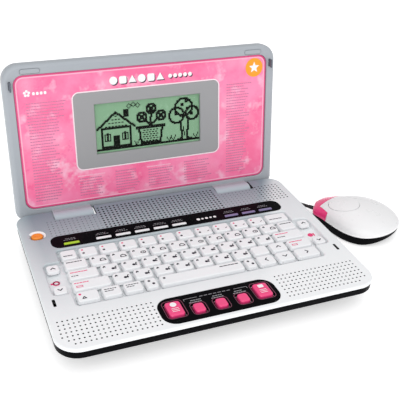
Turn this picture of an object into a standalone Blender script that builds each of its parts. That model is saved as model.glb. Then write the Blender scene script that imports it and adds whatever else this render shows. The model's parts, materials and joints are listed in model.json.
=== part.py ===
"""Toy laptop computer with a corded mouse. Metres, +Z up, +Y towards the lid, front edge towards -Y.

The laptop stands on four rubber feet on z = 0. The lid stands open on two hinge pins. Two frames are used:
the laptop's own frame, whose x = 0 is the middle of the base, and the lid's frame, whose x axis is the
hinge axis, whose y axis runs up the lid and whose z axis comes out of the lid's inner face.
"""

import math

import bmesh
import bpy
from mathutils import Matrix, Vector

# ---------------------------------------------------------------- driving dimensions (metres)
KEY_PITCH = 0.019            # letter keys, side to side
ROW_PITCH = 0.0159           # letter keys, front to back
GAP = 0.0003                 # between pieces that touch

ORIGIN_X = -0.0498           # laptop's middle, so that laptop and mouse together are centred
ORIGIN_Y = -0.0215

BASE_HALF_W = 0.1435
BASE_FRONT = -0.1015
BASE_REAR = 0.1035
TOP_Z = 0.028                # top face of the base
TOP_T = 0.003                # thickness of the top case's plate
BAND_TOP = TOP_Z - TOP_T - GAP
BAND_BOTTOM = 0.018          # the black wall ends here and the belly slopes in
BELLY_Z = 0.002
BELLY_INSET = 0.024
BELLY_REAR_INSET = 0.006
WALL = 0.0022

WELL_HALF_W = 0.1173         # keyboard well
WELL_FRONT = -0.0494
WELL_REAR = 0.0342
WELL_FLOOR = TOP_Z - 0.005
WELL_FLOOR_T = 0.0015
SIDE_WELL_HALF_W = 0.1328
SIDE_WELL_Y = (-0.0312, 0.0160)

KEY_TOP = TOP_Z + 0.0005
KEY_SKIRT = TOP_Z - 0.0032   # underside of the caps
KEY_GAP_X = 0.0016           # between the feet of two caps
KEY_GAP_Y = 0.0019
KEY_TAPER = 0.0011           # each side of a cap leans in by this much
PLUNGER = (0.0100, 0.0070)
WEB_Z = (0.0155, 0.0167)
MEMBRANE_Z = (0.0126, 0.0136)

ROW_Y = [0.0244 - ROW_PITCH * row for row in range(5)]
KEYS_LEFT = -0.1163
KEYS_RIGHT = 0.1163
FIRST_LETTER_X = [-0.0896, -0.0836, -0.0776, -0.0710]
LETTER_KEYS = [10, 10, 9, 9]
BOTTOM_ROW_EDGES = [-0.1163, -0.0945, -0.0755, -0.0565, -0.0430, 0.0385, 0.0510, 0.0705, 0.0900, 0.1163]
SPACE_BAR_INDEX = 4
WIDE_CAP = 0.030             # from this width on a cap has two plungers

SIDE_KEY_X = 0.1253
SIDE_KEY_Y = (0.0079, -0.0238)
SIDE_KEY_SIZE = 0.0115
SIDE_KEYS = {
    "volume_up_key": (-SIDE_KEY_X, SIDE_KEY_Y[0]),
    "volume_down_key": (-SIDE_KEY_X, SIDE_KEY_Y[1]),
    "contrast_up_key": (SIDE_KEY_X, SIDE_KEY_Y[0]),
    "contrast_down_key": (SIDE_KEY_X, SIDE_KEY_Y[1]),
}

STRIP_HALF_W = 0.1187        # black strip behind the keyboard
STRIP_Y = 0.0470
STRIP_DEPTH = 0.0200
STRIP_KEY_Y = 0.0422
STRIP_KEY_SIZE = (0.0146, 0.0034)
STRIP_GROUPS = {
    "green_mode_key": [-0.1005],
    "activity_keys": [-0.0700 + KEY_PITCH * k for k in range(5)],
    "menu_keys": [0.0620 + KEY_PITCH * k for k in range(3)],
}

PANEL_X = -0.0033            # black panel in front of the keyboard
PANEL_Y = -0.0807
PANEL_SIZE = (0.1063, 0.0331)
PINK_KEYS = {                # x from the panel's middle, y, width, depth
    "pink_key_1": (-0.0400, -0.0798, 0.0143, 0.0190),
    "pink_key_2": (-0.0200, -0.0845, 0.0103, 0.0121),
    "pink_key_3": (0.0000, -0.0845, 0.0103, 0.0121),
    "pink_key_4": (0.0200, -0.0845, 0.0103, 0.0121),
    "pink_key_5": (0.0400, -0.0798, 0.0143, 0.0190),
}
INLAY_FLOOR = TOP_Z - 0.002  # pockets that hold the strip and the panel

POWER_XY = (-0.1286, 0.0637)
POWER_SIZE = (0.0110, 0.0095)

SLOT_X = 0.1340
SLOT_Y = -0.0405
SLOT_SIZE = (0.0026, 0.0096)

HINGE_Y = 0.0970
HINGE_Z = TOP_Z - 0.009
KNUCKLE_R = 0.0100
KNUCKLE_X = (0.0668, 0.1066)
LUG_T = 0.0034
PIN_R = 0.0020
LID_LEAN = 8.1               # degrees behind upright at rest

LID_HALF_W = 0.1400
LID_BOTTOM = 0.0036          # the next ones in the lid's frame
LID_TOP = 0.1564
LID_TOP_CORNER = 0.0160
LID_FOOT_CORNER = 0.0060
LID_FACE = -0.0094
LID_PART = -0.0170
LID_BACK = -0.0264
PANEL_HALF_W = 0.1301
PANEL_BOTTOM = 0.0130
PANEL_TOP = 0.1463
PANEL_FACE = -0.0110
BEZEL_HALF_W = 0.0760
BEZEL_BOTTOM = 0.0470
BEZEL_TOP = 0.1247
BEZEL_FACE = -0.0106
LCD_HALF_W = 0.0555
LCD_BOTTOM = 0.0608
LCD_TOP = 0.1119
CATCH_Y = HINGE_Y - SLOT_Y
BUMPER_X = 0.1140
BUMPER_Y = 0.1500

BATTERY_X = (-0.1138, -0.0633)
BATTERY_Y = [0.0395, 0.0545, 0.0695]
BATTERY_R = 0.0071
BATTERY_Z = 0.0121
SCREW_XY = [(-0.112, -0.070), (0.112, -0.070), (-0.049, 0.071), (0.112, 0.071)]
FOOT_XY = [(-0.104, -0.062), (0.104, -0.062), (-0.104, 0.088), (0.104, 0.082)]
SPEAKER_XY = (0.0010, 0.0770)
GLAND_AT = (0.1340, 0.0850, 0.0120)
GLAND_TILT = math.radians(146.3)    # from upright, square to the sloping belly

MOUSE_XY = (0.1990, 0.0262)
MOUSE_HEADING = 128.5        # degrees from +X to the way the nose points
MOUSE_NOSE = 0.0434
MOUSE_TAIL = 0.0468
MOUSE_HALF_W = 0.0356
MOUSE_NOSE_HALF_W = 0.0180
MOUSE_WIDEST = -0.0120       # along the mouse, from its middle, + towards the nose
MOUSE_TAPER = 0.0580         # from the widest place to where the nose's width is reached
MOUSE_HEIGHT = 0.0275
MOUSE_NOSE_DROP = 0.0130     # the back falls by this much to the nose
MOUSE_TAIL_DROP = 0.0115
MOUSE_SPLIT_Z = 0.0105
MOUSE_FLOOR_Z = 0.0008        # underside of the base, held up by the glide
MOUSE_COLLAR = 0.0150        # length of the pink nose piece
MOUSE_KEY_XY = (0.0105, 0.0060)
MOUSE_KEY_R = (0.0165, 0.0140)   # an oval key, long along the mouse
MOUSE_WALL = 0.0018
MOUSE_OUTLET_Z = 0.0063
CORD_R = 0.00175

laptop = bpy.data.collections.new("toy_laptop")
cutters = bpy.data.collections.new("cutters")


# ---------------------------------------------------------------- helpers
def clear_scene():
    for obj in list(bpy.data.objects):
        bpy.data.objects.remove(obj)
    bpy.context.scene.collection.children.link(laptop)
    bpy.context.scene.collection.children.link(cutters)


def material(name, colour, roughness, metallic=0.0, alpha=1.0):
    made = bpy.data.materials.new(name)
    made.use_nodes = True
    shader = made.node_tree.nodes["Principled BSDF"]
    shader.inputs["Base Color"].default_value = (*colour, 1.0)
    shader.inputs["Roughness"].default_value = roughness
    shader.inputs["Metallic"].default_value = metallic
    shader.inputs["Alpha"].default_value = alpha
    return made


def empty(name, location, parent=None, rotation=(0, 0, 0)):
    made = bpy.data.objects.new(name, None)
    laptop.objects.link(made)
    made.location = location
    made.rotation_euler = rotation
    made.parent = parent
    return made


def piece(name, bm, colour, parent, location=(0, 0, 0), rotation=(0, 0, 0), group=None):
    """Turns a bmesh into a named object with its own material."""
    bmesh.ops.recalc_face_normals(bm, faces=bm.faces)
    mesh = bpy.data.meshes.new(name)
    bm.to_mesh(mesh)
    bm.free()
    made = bpy.data.objects.new(name, mesh)
    (group or laptop).objects.link(made)
    made.parent = parent
    made.location = location
    made.rotation_euler = rotation
    if colour:
        mesh.materials.append(material(name, *colour))
    return made


def helper(name, bm, parent, location=(0, 0, 0), rotation=(0, 0, 0)):
    """A solid that only cuts or joins, and is no piece itself."""
    made = piece(name, bm, None, parent, location, rotation, cutters)
    made.hide_render = True
    made.display_type = "WIRE"
    return made


def boolean(obj, other, operation):
    change = obj.modifiers.new(f"{operation.lower()} {other.name}", "BOOLEAN")
    change.operation = operation
    change.object = other
    change.solver = "EXACT"


def smooth(obj, degrees=40):
    obj.data.shade_smooth()
    obj.data.set_sharp_from_angle(angle=math.radians(degrees))


def add_slab(bm, x, y, z, radius=0.0, segments=3):
    """A box from x[0] to x[1], y[0] to y[1] and z[0] to z[1], its upright edges rounded."""
    middle = Vector(((x[0] + x[1]) / 2, (y[0] + y[1]) / 2, (z[0] + z[1]) / 2))
    size = (x[1] - x[0], y[1] - y[0], z[1] - z[0])
    verts = bmesh.ops.create_cube(bm, size=1.0)["verts"]
    bmesh.ops.scale(bm, vec=size, verts=verts)
    bmesh.ops.translate(bm, vec=middle, verts=verts)
    if radius:
        upright = [e for e in {e for v in verts for e in v.link_edges} if is_upright(e)]
        bmesh.ops.bevel(bm, geom=upright, offset=radius, segments=segments, profile=0.5, affect="EDGES")


def is_upright(edge):
    along = edge.verts[0].co - edge.verts[1].co
    return abs(along.z) > 1e-6 and abs(along.x) < 1e-7 and abs(along.y) < 1e-7


def slab(x, y, z, radius=0.0, segments=3):
    bm = bmesh.new()
    add_slab(bm, x, y, z, radius, segments)
    return bm


def add_rod(bm, centre, radius, length, axis="Z", segments=16):
    turn = {"X": Matrix.Rotation(math.pi / 2, 4, "Y"), "Y": Matrix.Rotation(math.pi / 2, 4, "X")}
    place = Matrix.Translation(centre) @ turn.get(axis, Matrix.Identity(4))
    bmesh.ops.create_cone(
        bm, cap_ends=True, segments=segments, radius1=radius, radius2=radius, depth=length, matrix=place
    )


def round_level(bm, z, width, segments=2):
    """Rounds the rim of the faces that lie at height z."""
    rim = [
        e
        for e in bm.edges
        if all(abs(v.co.z - z) < 1e-6 for v in e.verts)
        and any(abs(f.normal.z) < 0.9 for f in e.link_faces)
    ]
    bmesh.ops.bevel(bm, geom=rim, offset=width, segments=segments, profile=0.5, affect="EDGES")


def turned(name, profile, colour, parent, location, rotation=(0, 0, 0), steps=16):
    """A round piece: the profile's (radius, height) points run down its outer side, top to bottom."""
    bm = bmesh.new()
    points = [bm.verts.new((radius, 0, height)) for radius, height in profile]
    for upper, lower in zip(points, points[1:]):
        bm.edges.new((upper, lower))
    made = piece(name, bm, colour, parent, location, rotation)
    screw = made.modifiers.new("turn", "SCREW")
    screw.steps = steps
    screw.render_steps = steps
    screw.use_merge_vertices = True
    screw.merge_threshold = 0.00001
    screw.use_smooth_shade = True
    return made


def centred(middle, size):
    return (middle - size / 2, middle + size / 2)


# ---------------------------------------------------------------- base
WHITE = ((0.80, 0.81, 0.83), 0.45)
GREY = ((0.42, 0.45, 0.48), 0.45)
BLACK = ((0.012, 0.012, 0.016), 0.30)
GLOSS_BLACK = ((0.006, 0.006, 0.008), 0.12)
PINK = ((0.85, 0.06, 0.22), 0.35)
KEY_WHITE = ((0.86, 0.86, 0.88), 0.50)
RUBBER = ((0.03, 0.03, 0.03), 0.80)
STEEL = ((0.55, 0.55, 0.57), 0.30, 1.0)
BOARD_GREEN = ((0.02, 0.16, 0.06), 0.5)
CELL_WRAP = ((0.10, 0.10, 0.11), 0.35, 0.6)


def base_outline_slab(z, inset, front_radius, rear_radius):
    """A slab of the base's plan, with larger front corners than rear ones."""
    bm = bmesh.new()
    add_slab(
        bm,
        (-BASE_HALF_W + inset, BASE_HALF_W - inset),
        (BASE_FRONT + inset, BASE_REAR - inset),
        z,
    )
    for radius, side in ((front_radius, -1), (rear_radius, 1)):
        corners = [e for e in bm.edges if is_upright(e) and e.verts[0].co.y * side > 0.09]
        bmesh.ops.bevel(bm, geom=corners, offset=radius, segments=5, profile=0.5, affect="EDGES")
    return bm


def key_cells():
    """Each row's keys as (name, left edge, right edge, y)."""
    rows = []
    for row, first in enumerate(FIRST_LETTER_X):
        edges = [KEYS_LEFT]
        edges += [first + KEY_PITCH * (k - 0.5) for k in range(LETTER_KEYS[row] + 1)]
        edges.append(KEYS_RIGHT)
        rows.append([(left, right, ROW_Y[row]) for left, right in zip(edges, edges[1:])])
    rows.append([(left, right, ROW_Y[4]) for left, right in zip(BOTTOM_ROW_EDGES, BOTTOM_ROW_EDGES[1:])])
    return rows


def plunger_x(left, right):
    """A cap has one plunger, and a wide cap has two."""
    middle = (left + right) / 2
    if right - left < WIDE_CAP:
        return [middle]
    reach = (right - left) / 2 - 0.010
    return [middle - reach, middle + reach]


def top_case(frame):
    bm = base_outline_slab((TOP_Z - TOP_T, TOP_Z), 0.0, 0.020, 0.014)
    round_level(bm, TOP_Z, 0.0018)
    case = piece("top_case", bm, WHITE, frame)

    tub_z = (WELL_FLOOR - WELL_FLOOR_T, TOP_Z - TOP_T + 0.001)
    tub_x = (-WELL_HALF_W - WALL, WELL_HALF_W + WALL)
    tub = slab(tub_x, (WELL_FRONT - WALL, WELL_REAR + WALL), tub_z, 0.004)
    side_tub = slab(
        (-SIDE_WELL_HALF_W - WALL, SIDE_WELL_HALF_W + WALL),
        (SIDE_WELL_Y[0] - WALL, SIDE_WELL_Y[1] + WALL),
        tub_z,
        0.004,
    )
    boolean(case, helper("well_tub", tub, frame), "UNION")
    boolean(case, helper("side_well_tub", side_tub, frame), "UNION")

    fixings = bmesh.new()
    for x, y in SCREW_XY:
        add_rod(fixings, (x, y, 0.0202), 0.0036, 0.0112, segments=10)
    for side in (-1, 1):
        for edge, way in ((KNUCKLE_X[0], -1), (KNUCKLE_X[1], 1)):
            near = side * (edge + way * 0.0008)
            far = side * (edge + way * (0.0008 + LUG_T))
            lug_z = (HINGE_Z - 0.007, TOP_Z - 0.002)
            add_slab(fixings, sorted((near, far)), (HINGE_Y - 0.007, BASE_REAR - 0.0004), lug_z)
    boolean(case, helper("screw_bosses_and_hinge_lugs", fixings, frame), "UNION")

    wells = slab((-WELL_HALF_W, WELL_HALF_W), (WELL_FRONT, WELL_REAR), (WELL_FLOOR, TOP_Z + 0.01), 0.003)
    boolean(case, helper("keyboard_well", wells, frame), "DIFFERENCE")
    side_wells = slab(
        (-SIDE_WELL_HALF_W, SIDE_WELL_HALF_W), SIDE_WELL_Y, (WELL_FLOOR, TOP_Z + 0.01), 0.004
    )
    boolean(case, helper("side_key_wells", side_wells, frame), "DIFFERENCE")

    holes = bmesh.new()
    through = (WELL_FLOOR - 0.004, WELL_FLOOR + 0.001)
    for row in key_cells():
        for left, right, y in row:
            for x in plunger_x(left, right):
                add_slab(holes, centred(x, PLUNGER[0] + 0.001), centred(y, PLUNGER[1] + 0.001), through)
    for x, y in SIDE_KEYS.values():
        add_slab(holes, centred(x, 0.008), centred(y, 0.008), through)
    boolean(case, helper("key_holes", holes, frame), "DIFFERENCE")

    cuts = bmesh.new()
    add_slab(
        cuts,
        (-STRIP_HALF_W - GAP, STRIP_HALF_W + GAP),
        centred(STRIP_Y, STRIP_DEPTH + 2 * GAP),
        (INLAY_FLOOR, TOP_Z + 0.01),
        0.0085,
        4,
    )
    add_slab(
        cuts,
        centred(PANEL_X, PANEL_SIZE[0] + 2 * GAP),
        centred(PANEL_Y, PANEL_SIZE[1] + 2 * GAP),
        (INLAY_FLOOR, TOP_Z + 0.01),
        0.0125,
        5,
    )
    for side in (-1, 1):
        add_slab(cuts, centred(side * SLOT_X, SLOT_SIZE[0]), centred(SLOT_Y, SLOT_SIZE[1]), (0.020, 0.040))
        bay = sorted((side * (KNUCKLE_X[0] - 0.0008), side * (KNUCKLE_X[1] + 0.0008)))
        add_slab(cuts, bay, (HINGE_Y - 0.0107, BASE_REAR + 0.010), (0.004, 0.040))
    add_slab(
        cuts,
        centred(POWER_XY[0], POWER_SIZE[0] + 0.001),
        centred(POWER_XY[1], POWER_SIZE[1] + 0.001),
        (0.020, 0.040),
        0.0050,
        4,
    )
    boolean(case, helper("pockets_slots_and_bays", cuts, frame), "DIFFERENCE")

    drills = bmesh.new()
    inlay = (TOP_Z - TOP_T - 0.001, INLAY_FLOOR + 0.001)
    for x, y, width, depth in PINK_KEYS.values():
        add_slab(drills, centred(PANEL_X + x, width + 0.001), centred(y, depth + 0.001), inlay, 0.002, 2)
    for columns in STRIP_GROUPS.values():
        for x in columns:
            add_slab(drills, centred(x, STRIP_KEY_SIZE[0] + 0.0008), centred(STRIP_KEY_Y, 0.0044), inlay)
    for x, y in SCREW_XY:
        add_rod(drills, (x, y, 0.0190), 0.0015, 0.0110, segments=10)
    for side in (-1, 1):
        middle = side * (KNUCKLE_X[0] + KNUCKLE_X[1]) / 2
        add_rod(drills, (middle, HINGE_Y, HINGE_Z), PIN_R + GAP, 0.0495, "X")
    boolean(case, helper("drilled_holes", drills, frame), "DIFFERENCE")
    smooth(case)


def bottom_case(frame):
    bm = base_outline_slab((BAND_BOTTOM, BAND_TOP), 0.0005, 0.0195, 0.0135)
    floor = [f for f in bm.faces if f.normal.z < -0.9]
    grown = bmesh.ops.extrude_face_region(bm, geom=floor)["geom"]
    bmesh.ops.delete(bm, geom=floor, context="FACES")
    width = BASE_HALF_W - 0.0005
    depth = (BASE_REAR - BASE_FRONT - 0.001) / 2
    middle = (BASE_REAR + BASE_FRONT) / 2
    shrink_x = (width - BELLY_INSET) / width
    shrink_y = (depth - (BELLY_INSET + BELLY_REAR_INSET) / 2) / depth
    shift_y = (BELLY_INSET - BELLY_REAR_INSET) / 2
    for vert in [v for v in grown if isinstance(v, bmesh.types.BMVert)]:
        vert.co.x *= shrink_x
        vert.co.y = middle + shift_y + (vert.co.y - middle) * shrink_y
        vert.co.z = BELLY_Z
    lid_face = [f for f in bm.faces if f.normal.z > 0.9]
    bmesh.ops.delete(bm, geom=lid_face, context="FACES")
    case = piece("bottom_case", bm, BLACK, frame)
    shell = case.modifiers.new("wall", "SOLIDIFY")
    shell.thickness = WALL
    shell.offset = -1.0
    shell.use_even_offset = True

    posts = bmesh.new()
    for x, y in SCREW_XY:
        add_rod(posts, (x, y, 0.0083), 0.0046, 0.0115, segments=10)
    boolean(case, helper("screw_posts", posts, frame), "UNION")

    cuts = bmesh.new()
    for x, y in SCREW_XY:
        add_rod(cuts, (x, y, 0.0060), 0.0032, 0.0120, segments=10)
    for side in (-1, 1):
        bay = sorted((side * (KNUCKLE_X[0] - 0.0050), side * (KNUCKLE_X[1] + 0.0050)))
        add_slab(cuts, bay, (HINGE_Y - 0.0107, BASE_REAR + 0.010), (HINGE_Z - 0.0107, 0.040))
    add_slab(cuts, (-0.1160, -0.0605), (0.0312, 0.0778), (0.0, 0.0048), 0.003, 2)
    boolean(case, helper("bottom_case_cuts", cuts, frame), "DIFFERENCE")
    outlet = bmesh.new()
    add_rod(outlet, (0, 0, 0), 0.0025, 0.010, segments=12)
    place = Matrix.Translation(GLAND_AT) @ Matrix.Rotation(GLAND_TILT, 4, "Y")
    bmesh.ops.transform(outlet, matrix=place, verts=outlet.verts)
    boolean(case, helper("cord_outlet", outlet, frame), "DIFFERENCE")
    narrow = bmesh.new()
    for x, y in SCREW_XY:
        add_rod(narrow, (x, y, 0.0130), 0.0015, 0.0080, segments=10)
    boolean(case, helper("screw_holes", narrow, frame), "DIFFERENCE")
    smooth(case)


def inlays(frame):
    strip_z = (INLAY_FLOOR + GAP, TOP_Z + 0.0003)
    strip = slab((-STRIP_HALF_W, STRIP_HALF_W), centred(STRIP_Y, STRIP_DEPTH), strip_z, 0.0082, 4)
    strip = piece("control_strip", strip, GLOSS_BLACK, frame)
    slots = bmesh.new()
    for columns in STRIP_GROUPS.values():
        for x in columns:
            add_slab(
                slots, centred(x, STRIP_KEY_SIZE[0] + 0.0008), centred(STRIP_KEY_Y, 0.0044), (0.024, 0.032)
            )
    boolean(strip, helper("strip_slots", slots, frame), "DIFFERENCE")

    panel_z = (INLAY_FLOOR + GAP, TOP_Z + 0.0004)
    panel = slab(centred(PANEL_X, PANEL_SIZE[0]), centred(PANEL_Y, PANEL_SIZE[1]), panel_z, 0.0122, 5)
    panel = piece("front_panel", panel, GLOSS_BLACK, frame)
    slots = bmesh.new()
    slot_z = (0.024, 0.032)
    for x, y, width, depth in PINK_KEYS.values():
        add_slab(slots, centred(PANEL_X + x, width + 0.001), centred(y, depth + 0.001), slot_z, 0.002, 2)
    boolean(panel, helper("panel_slots", slots, frame), "DIFFERENCE")


def add_cap(bm, x, y, width, depth, skirt, top, taper):
    """A key cap: a box whose sides lean in towards its top."""
    verts = bmesh.ops.create_cube(bm, size=1.0)["verts"]
    bmesh.ops.scale(bm, vec=(width, depth, top - skirt), verts=verts)
    bmesh.ops.translate(bm, vec=(x, y, (top + skirt) / 2), verts=verts)
    upper = [v for v in verts if v.co.z > (top + skirt) / 2]
    shrink = (1 - 2 * taper / width, 1 - 2 * taper / depth, 1)
    bmesh.ops.scale(bm, vec=shrink, verts=upper, space=Matrix.Translation((-x, -y, 0)))


def sprung_keys(name, frame, caps, web, colour, plunger_cells, taper=KEY_TAPER):
    """Caps on plungers that a thin web joins, as one moulding. caps: (x, y, width, depth, skirt, top)."""
    origin = Vector((sum(c[0] for c in caps) / len(caps), caps[0][1], web[2][0]))
    parts = bmesh.new()
    for x, y, width, depth, skirt, top in caps:
        add_cap(parts, x - origin.x, y - origin.y, width, depth, skirt - origin.z, top - origin.z, taper)
    stems = bmesh.new()
    for x, y, width, depth, top in plunger_cells:
        add_slab(
            stems,
            centred(x - origin.x, width),
            centred(y - origin.y, depth),
            (web[2][1] - 0.0006 - origin.z, top - origin.z),
        )
    plate = slab(*[(low - shift, high - shift) for (low, high), shift in zip(web, origin)])
    made = piece(name, plate, colour, frame, origin)
    boolean(made, helper(f"{name}_stems", stems, frame, origin), "UNION")
    boolean(made, helper(f"{name}_caps", parts, frame, origin), "UNION")
    return made


def keyboard(frame):
    for row, cells in enumerate(key_cells()):
        groups = {f"key_row_{row + 1}": cells}
        if row == 4:
            bar = cells[SPACE_BAR_INDEX]
            groups = {
                "key_row_5_left": cells[:SPACE_BAR_INDEX],
                "space_bar": [bar],
                "key_row_5_right": cells[SPACE_BAR_INDEX + 1 :],
            }
        for name, members in groups.items():
            caps = []
            stems = []
            depth = ROW_PITCH - KEY_GAP_Y
            for left, right, y in members:
                caps.append(((left + right) / 2, y, right - left - KEY_GAP_X, depth, KEY_SKIRT, KEY_TOP))
                stems += [(x, y, *PLUNGER, KEY_SKIRT + 0.0006) for x in plunger_x(left, right)]
            y = members[0][2]
            reach = (stems[0][0] - PLUNGER[0] / 2, stems[-1][0] + PLUNGER[0] / 2)
            sprung_keys(name, frame, caps, (reach, centred(y, PLUNGER[1] - 0.001), WEB_Z), KEY_WHITE, stems)


def side_keys(frame):
    for name, (x, y) in SIDE_KEYS.items():
        cap = (x, y, SIDE_KEY_SIZE, SIDE_KEY_SIZE, KEY_SKIRT, TOP_Z - 0.0004)
        web = (centred(x, 0.0060), centred(y, 0.0060), WEB_Z)
        sprung_keys(name, frame, [cap], web, KEY_WHITE, [(x, y, 0.0066, 0.0066, KEY_SKIRT + 0.0006)])


def strip_keys(frame):
    colours = {
        "green_mode_key": ((0.42, 0.62, 0.03), 0.35),
        "activity_keys": KEY_WHITE,
        "menu_keys": ((0.25, 0.21, 0.38), 0.35),
    }
    for name, columns in STRIP_GROUPS.items():
        caps = [(x, STRIP_KEY_Y, *STRIP_KEY_SIZE, 0.0250, TOP_Z + 0.0010) for x in columns]
        stems = [(x, STRIP_KEY_Y, 0.0120, 0.0030, 0.0260) for x in columns]
        web = ((columns[0] - 0.0073, columns[-1] + 0.0073), centred(STRIP_KEY_Y, 0.0050), (0.0205, 0.0217))
        sprung_keys(name, frame, caps, web, colours[name], stems, 0.0003)


def pink_keys(frame):
    for name, (x, y, width, depth) in PINK_KEYS.items():
        cap = slab(centred(0, width), centred(0, depth), (0.0, 0.0080), 0.0018, 2)
        round_level(cap, 0.0080, 0.0008, 1)
        made = piece(name, cap, PINK, frame, (PANEL_X + x, y, 0.0219))
        flange = slab(centred(0, width + 0.004), centred(0, depth + 0.004), (-0.0014, 0.0004), 0.002, 2)
        boolean(made, helper(f"{name}_flange", flange, frame, made.location), "UNION")


def power_button(frame):
    cap = slab(centred(0, POWER_SIZE[0]), centred(0, POWER_SIZE[1]), (0.0, 0.0058), 0.0046, 4)
    round_level(cap, 0.0058, 0.0008, 1)
    made = piece("power_button", cap, ((0.90, 0.33, 0.02), 0.35), frame, (*POWER_XY, 0.0219))
    width, depth = POWER_SIZE
    flange = slab(centred(0, width + 0.004), centred(0, depth + 0.004), (-0.0014, 0.0004), 0.005, 3)
    boolean(made, helper("power_button_flange", flange, frame, made.location), "UNION")


def inside_base(frame):
    mat = slab((-0.1180, 0.1180), (-0.0470, 0.0305), MEMBRANE_Z, 0.003, 2)
    ears = slab((-0.1300, 0.1300), (-0.0285, 0.0135), MEMBRANE_Z, 0.003, 2)
    mat = piece("key_membrane", mat, ((0.55, 0.55, 0.52), 0.7), frame)
    boolean(mat, helper("membrane_ears", ears, frame), "UNION")

    board = slab((-0.0500, 0.1170), (-0.0600, 0.0280), (0.0080, 0.0096))
    board = piece("main_board", board, BOARD_GREEN, frame)
    chips = bmesh.new()
    add_slab(chips, (-0.010, 0.010), (-0.012, 0.008), (0.0090, 0.0115))
    add_slab(chips, (0.040, 0.052), (-0.030, -0.022), (0.0090, 0.0118))
    add_slab(chips, (-0.042, -0.030), (0.010, 0.024), (0.0090, 0.0122))
    add_slab(chips, (0.098, 0.106), (0.010, 0.022), (0.0090, 0.0120))
    boolean(board, helper("chips", chips, frame), "UNION")

    rim = [(0, 0.0245), (0.0205, 0.0245), (0.0205, 0.0228), (0.0140, 0.0165)]
    magnet = [(0.0100, 0.0165), (0.0100, 0.0112), (0, 0.0112)]
    turned("speaker", rim + magnet, STEEL, frame, (*SPEAKER_XY, 0))

    middle = (BATTERY_X[0] + BATTERY_X[1]) / 2
    half = (BATTERY_X[1] - BATTERY_X[0]) / 2
    nub = [(0, half), (0.0027, half), (0.0027, half - 0.0014)]
    cell = [*nub, (BATTERY_R, half - 0.0014), (BATTERY_R, -half), (0, -half)]
    for number, y in enumerate(BATTERY_Y, 1):
        turn = math.radians(90 if number % 2 else -90)
        turned(f"battery_{number}", cell, CELL_WRAP, frame, (middle, y, BATTERY_Z), (0, turn, 0), 14)

    door = slab((-0.1157, -0.0608), (0.0315, 0.0775), (BELLY_Z, 0.0040), 0.003, 2)
    door = piece("battery_door", door, BLACK, frame)
    risers = bmesh.new()
    tongues = bmesh.new()
    for x in (-0.1010, -0.0755):
        add_slab(risers, centred(x, 0.006), (0.0320, 0.0350), (0.0035, 0.0052))
        add_slab(tongues, centred(x, 0.008), (0.0275, 0.0355), (0.0047, 0.0060))
    boolean(door, helper("battery_door_risers", risers, frame), "UNION")
    boolean(door, helper("battery_door_tongues", tongues, frame), "UNION")

    screw = [(0, 0.0212), (0.0012, 0.0212), (0.0012, 0.0088)]
    screw += [(0.0027, 0.0088), (0.0027, 0.0068), (0, 0.0068)]
    foot = [(0, BELLY_Z - GAP), (0.0060, BELLY_Z - GAP), (0.0060, 0.0004), (0.0056, 0), (0, 0)]
    corners = ("front_left", "front_right", "rear_left", "rear_right")
    for corner, (x, y) in zip(corners, SCREW_XY):
        turned(f"case_screw_{corner}", screw, STEEL, frame, (x, y, 0), steps=10)
    for corner, (x, y) in zip(corners, FOOT_XY):
        turned(f"foot_{corner}", foot, RUBBER, frame, (x, y, 0))

    for side, name in ((-1, "left"), (1, "right")):
        middle = side * (KNUCKLE_X[0] + KNUCKLE_X[1]) / 2
        pin = [(0, 0.0243), (PIN_R, 0.0243), (PIN_R, -0.0243), (0, -0.0243)]
        turned(f"hinge_pin_{name}", pin, STEEL, frame, (middle, HINGE_Y, HINGE_Z), (0, math.pi / 2, 0))

    sleeve = [(0, 0.0028), (0.0019, 0.0028), (0.0022, -0.0025)]
    sleeve += [(0.0027, -0.0025), (0.0027, -0.0037), (0, -0.0037)]
    turned("cord_gland", sleeve, RUBBER, frame, GLAND_AT, (0, GLAND_TILT, 0), 12)


# ---------------------------------------------------------------- lid
def lid_slab(z):
    """A slab of the lid's plan, with tighter corners at the hinge than at the top."""
    bm = slab((-LID_HALF_W, LID_HALF_W), (LID_BOTTOM, LID_TOP), z)
    middle = (LID_BOTTOM + LID_TOP) / 2
    for radius, side in ((LID_TOP_CORNER, 1), (LID_FOOT_CORNER, -1)):
        corners = [e for e in bm.edges if is_upright(e) and (e.verts[0].co.y - middle) * side > 0]
        bmesh.ops.bevel(bm, geom=corners, offset=radius, segments=5, profile=0.5, affect="EDGES")
    return bm


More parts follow.
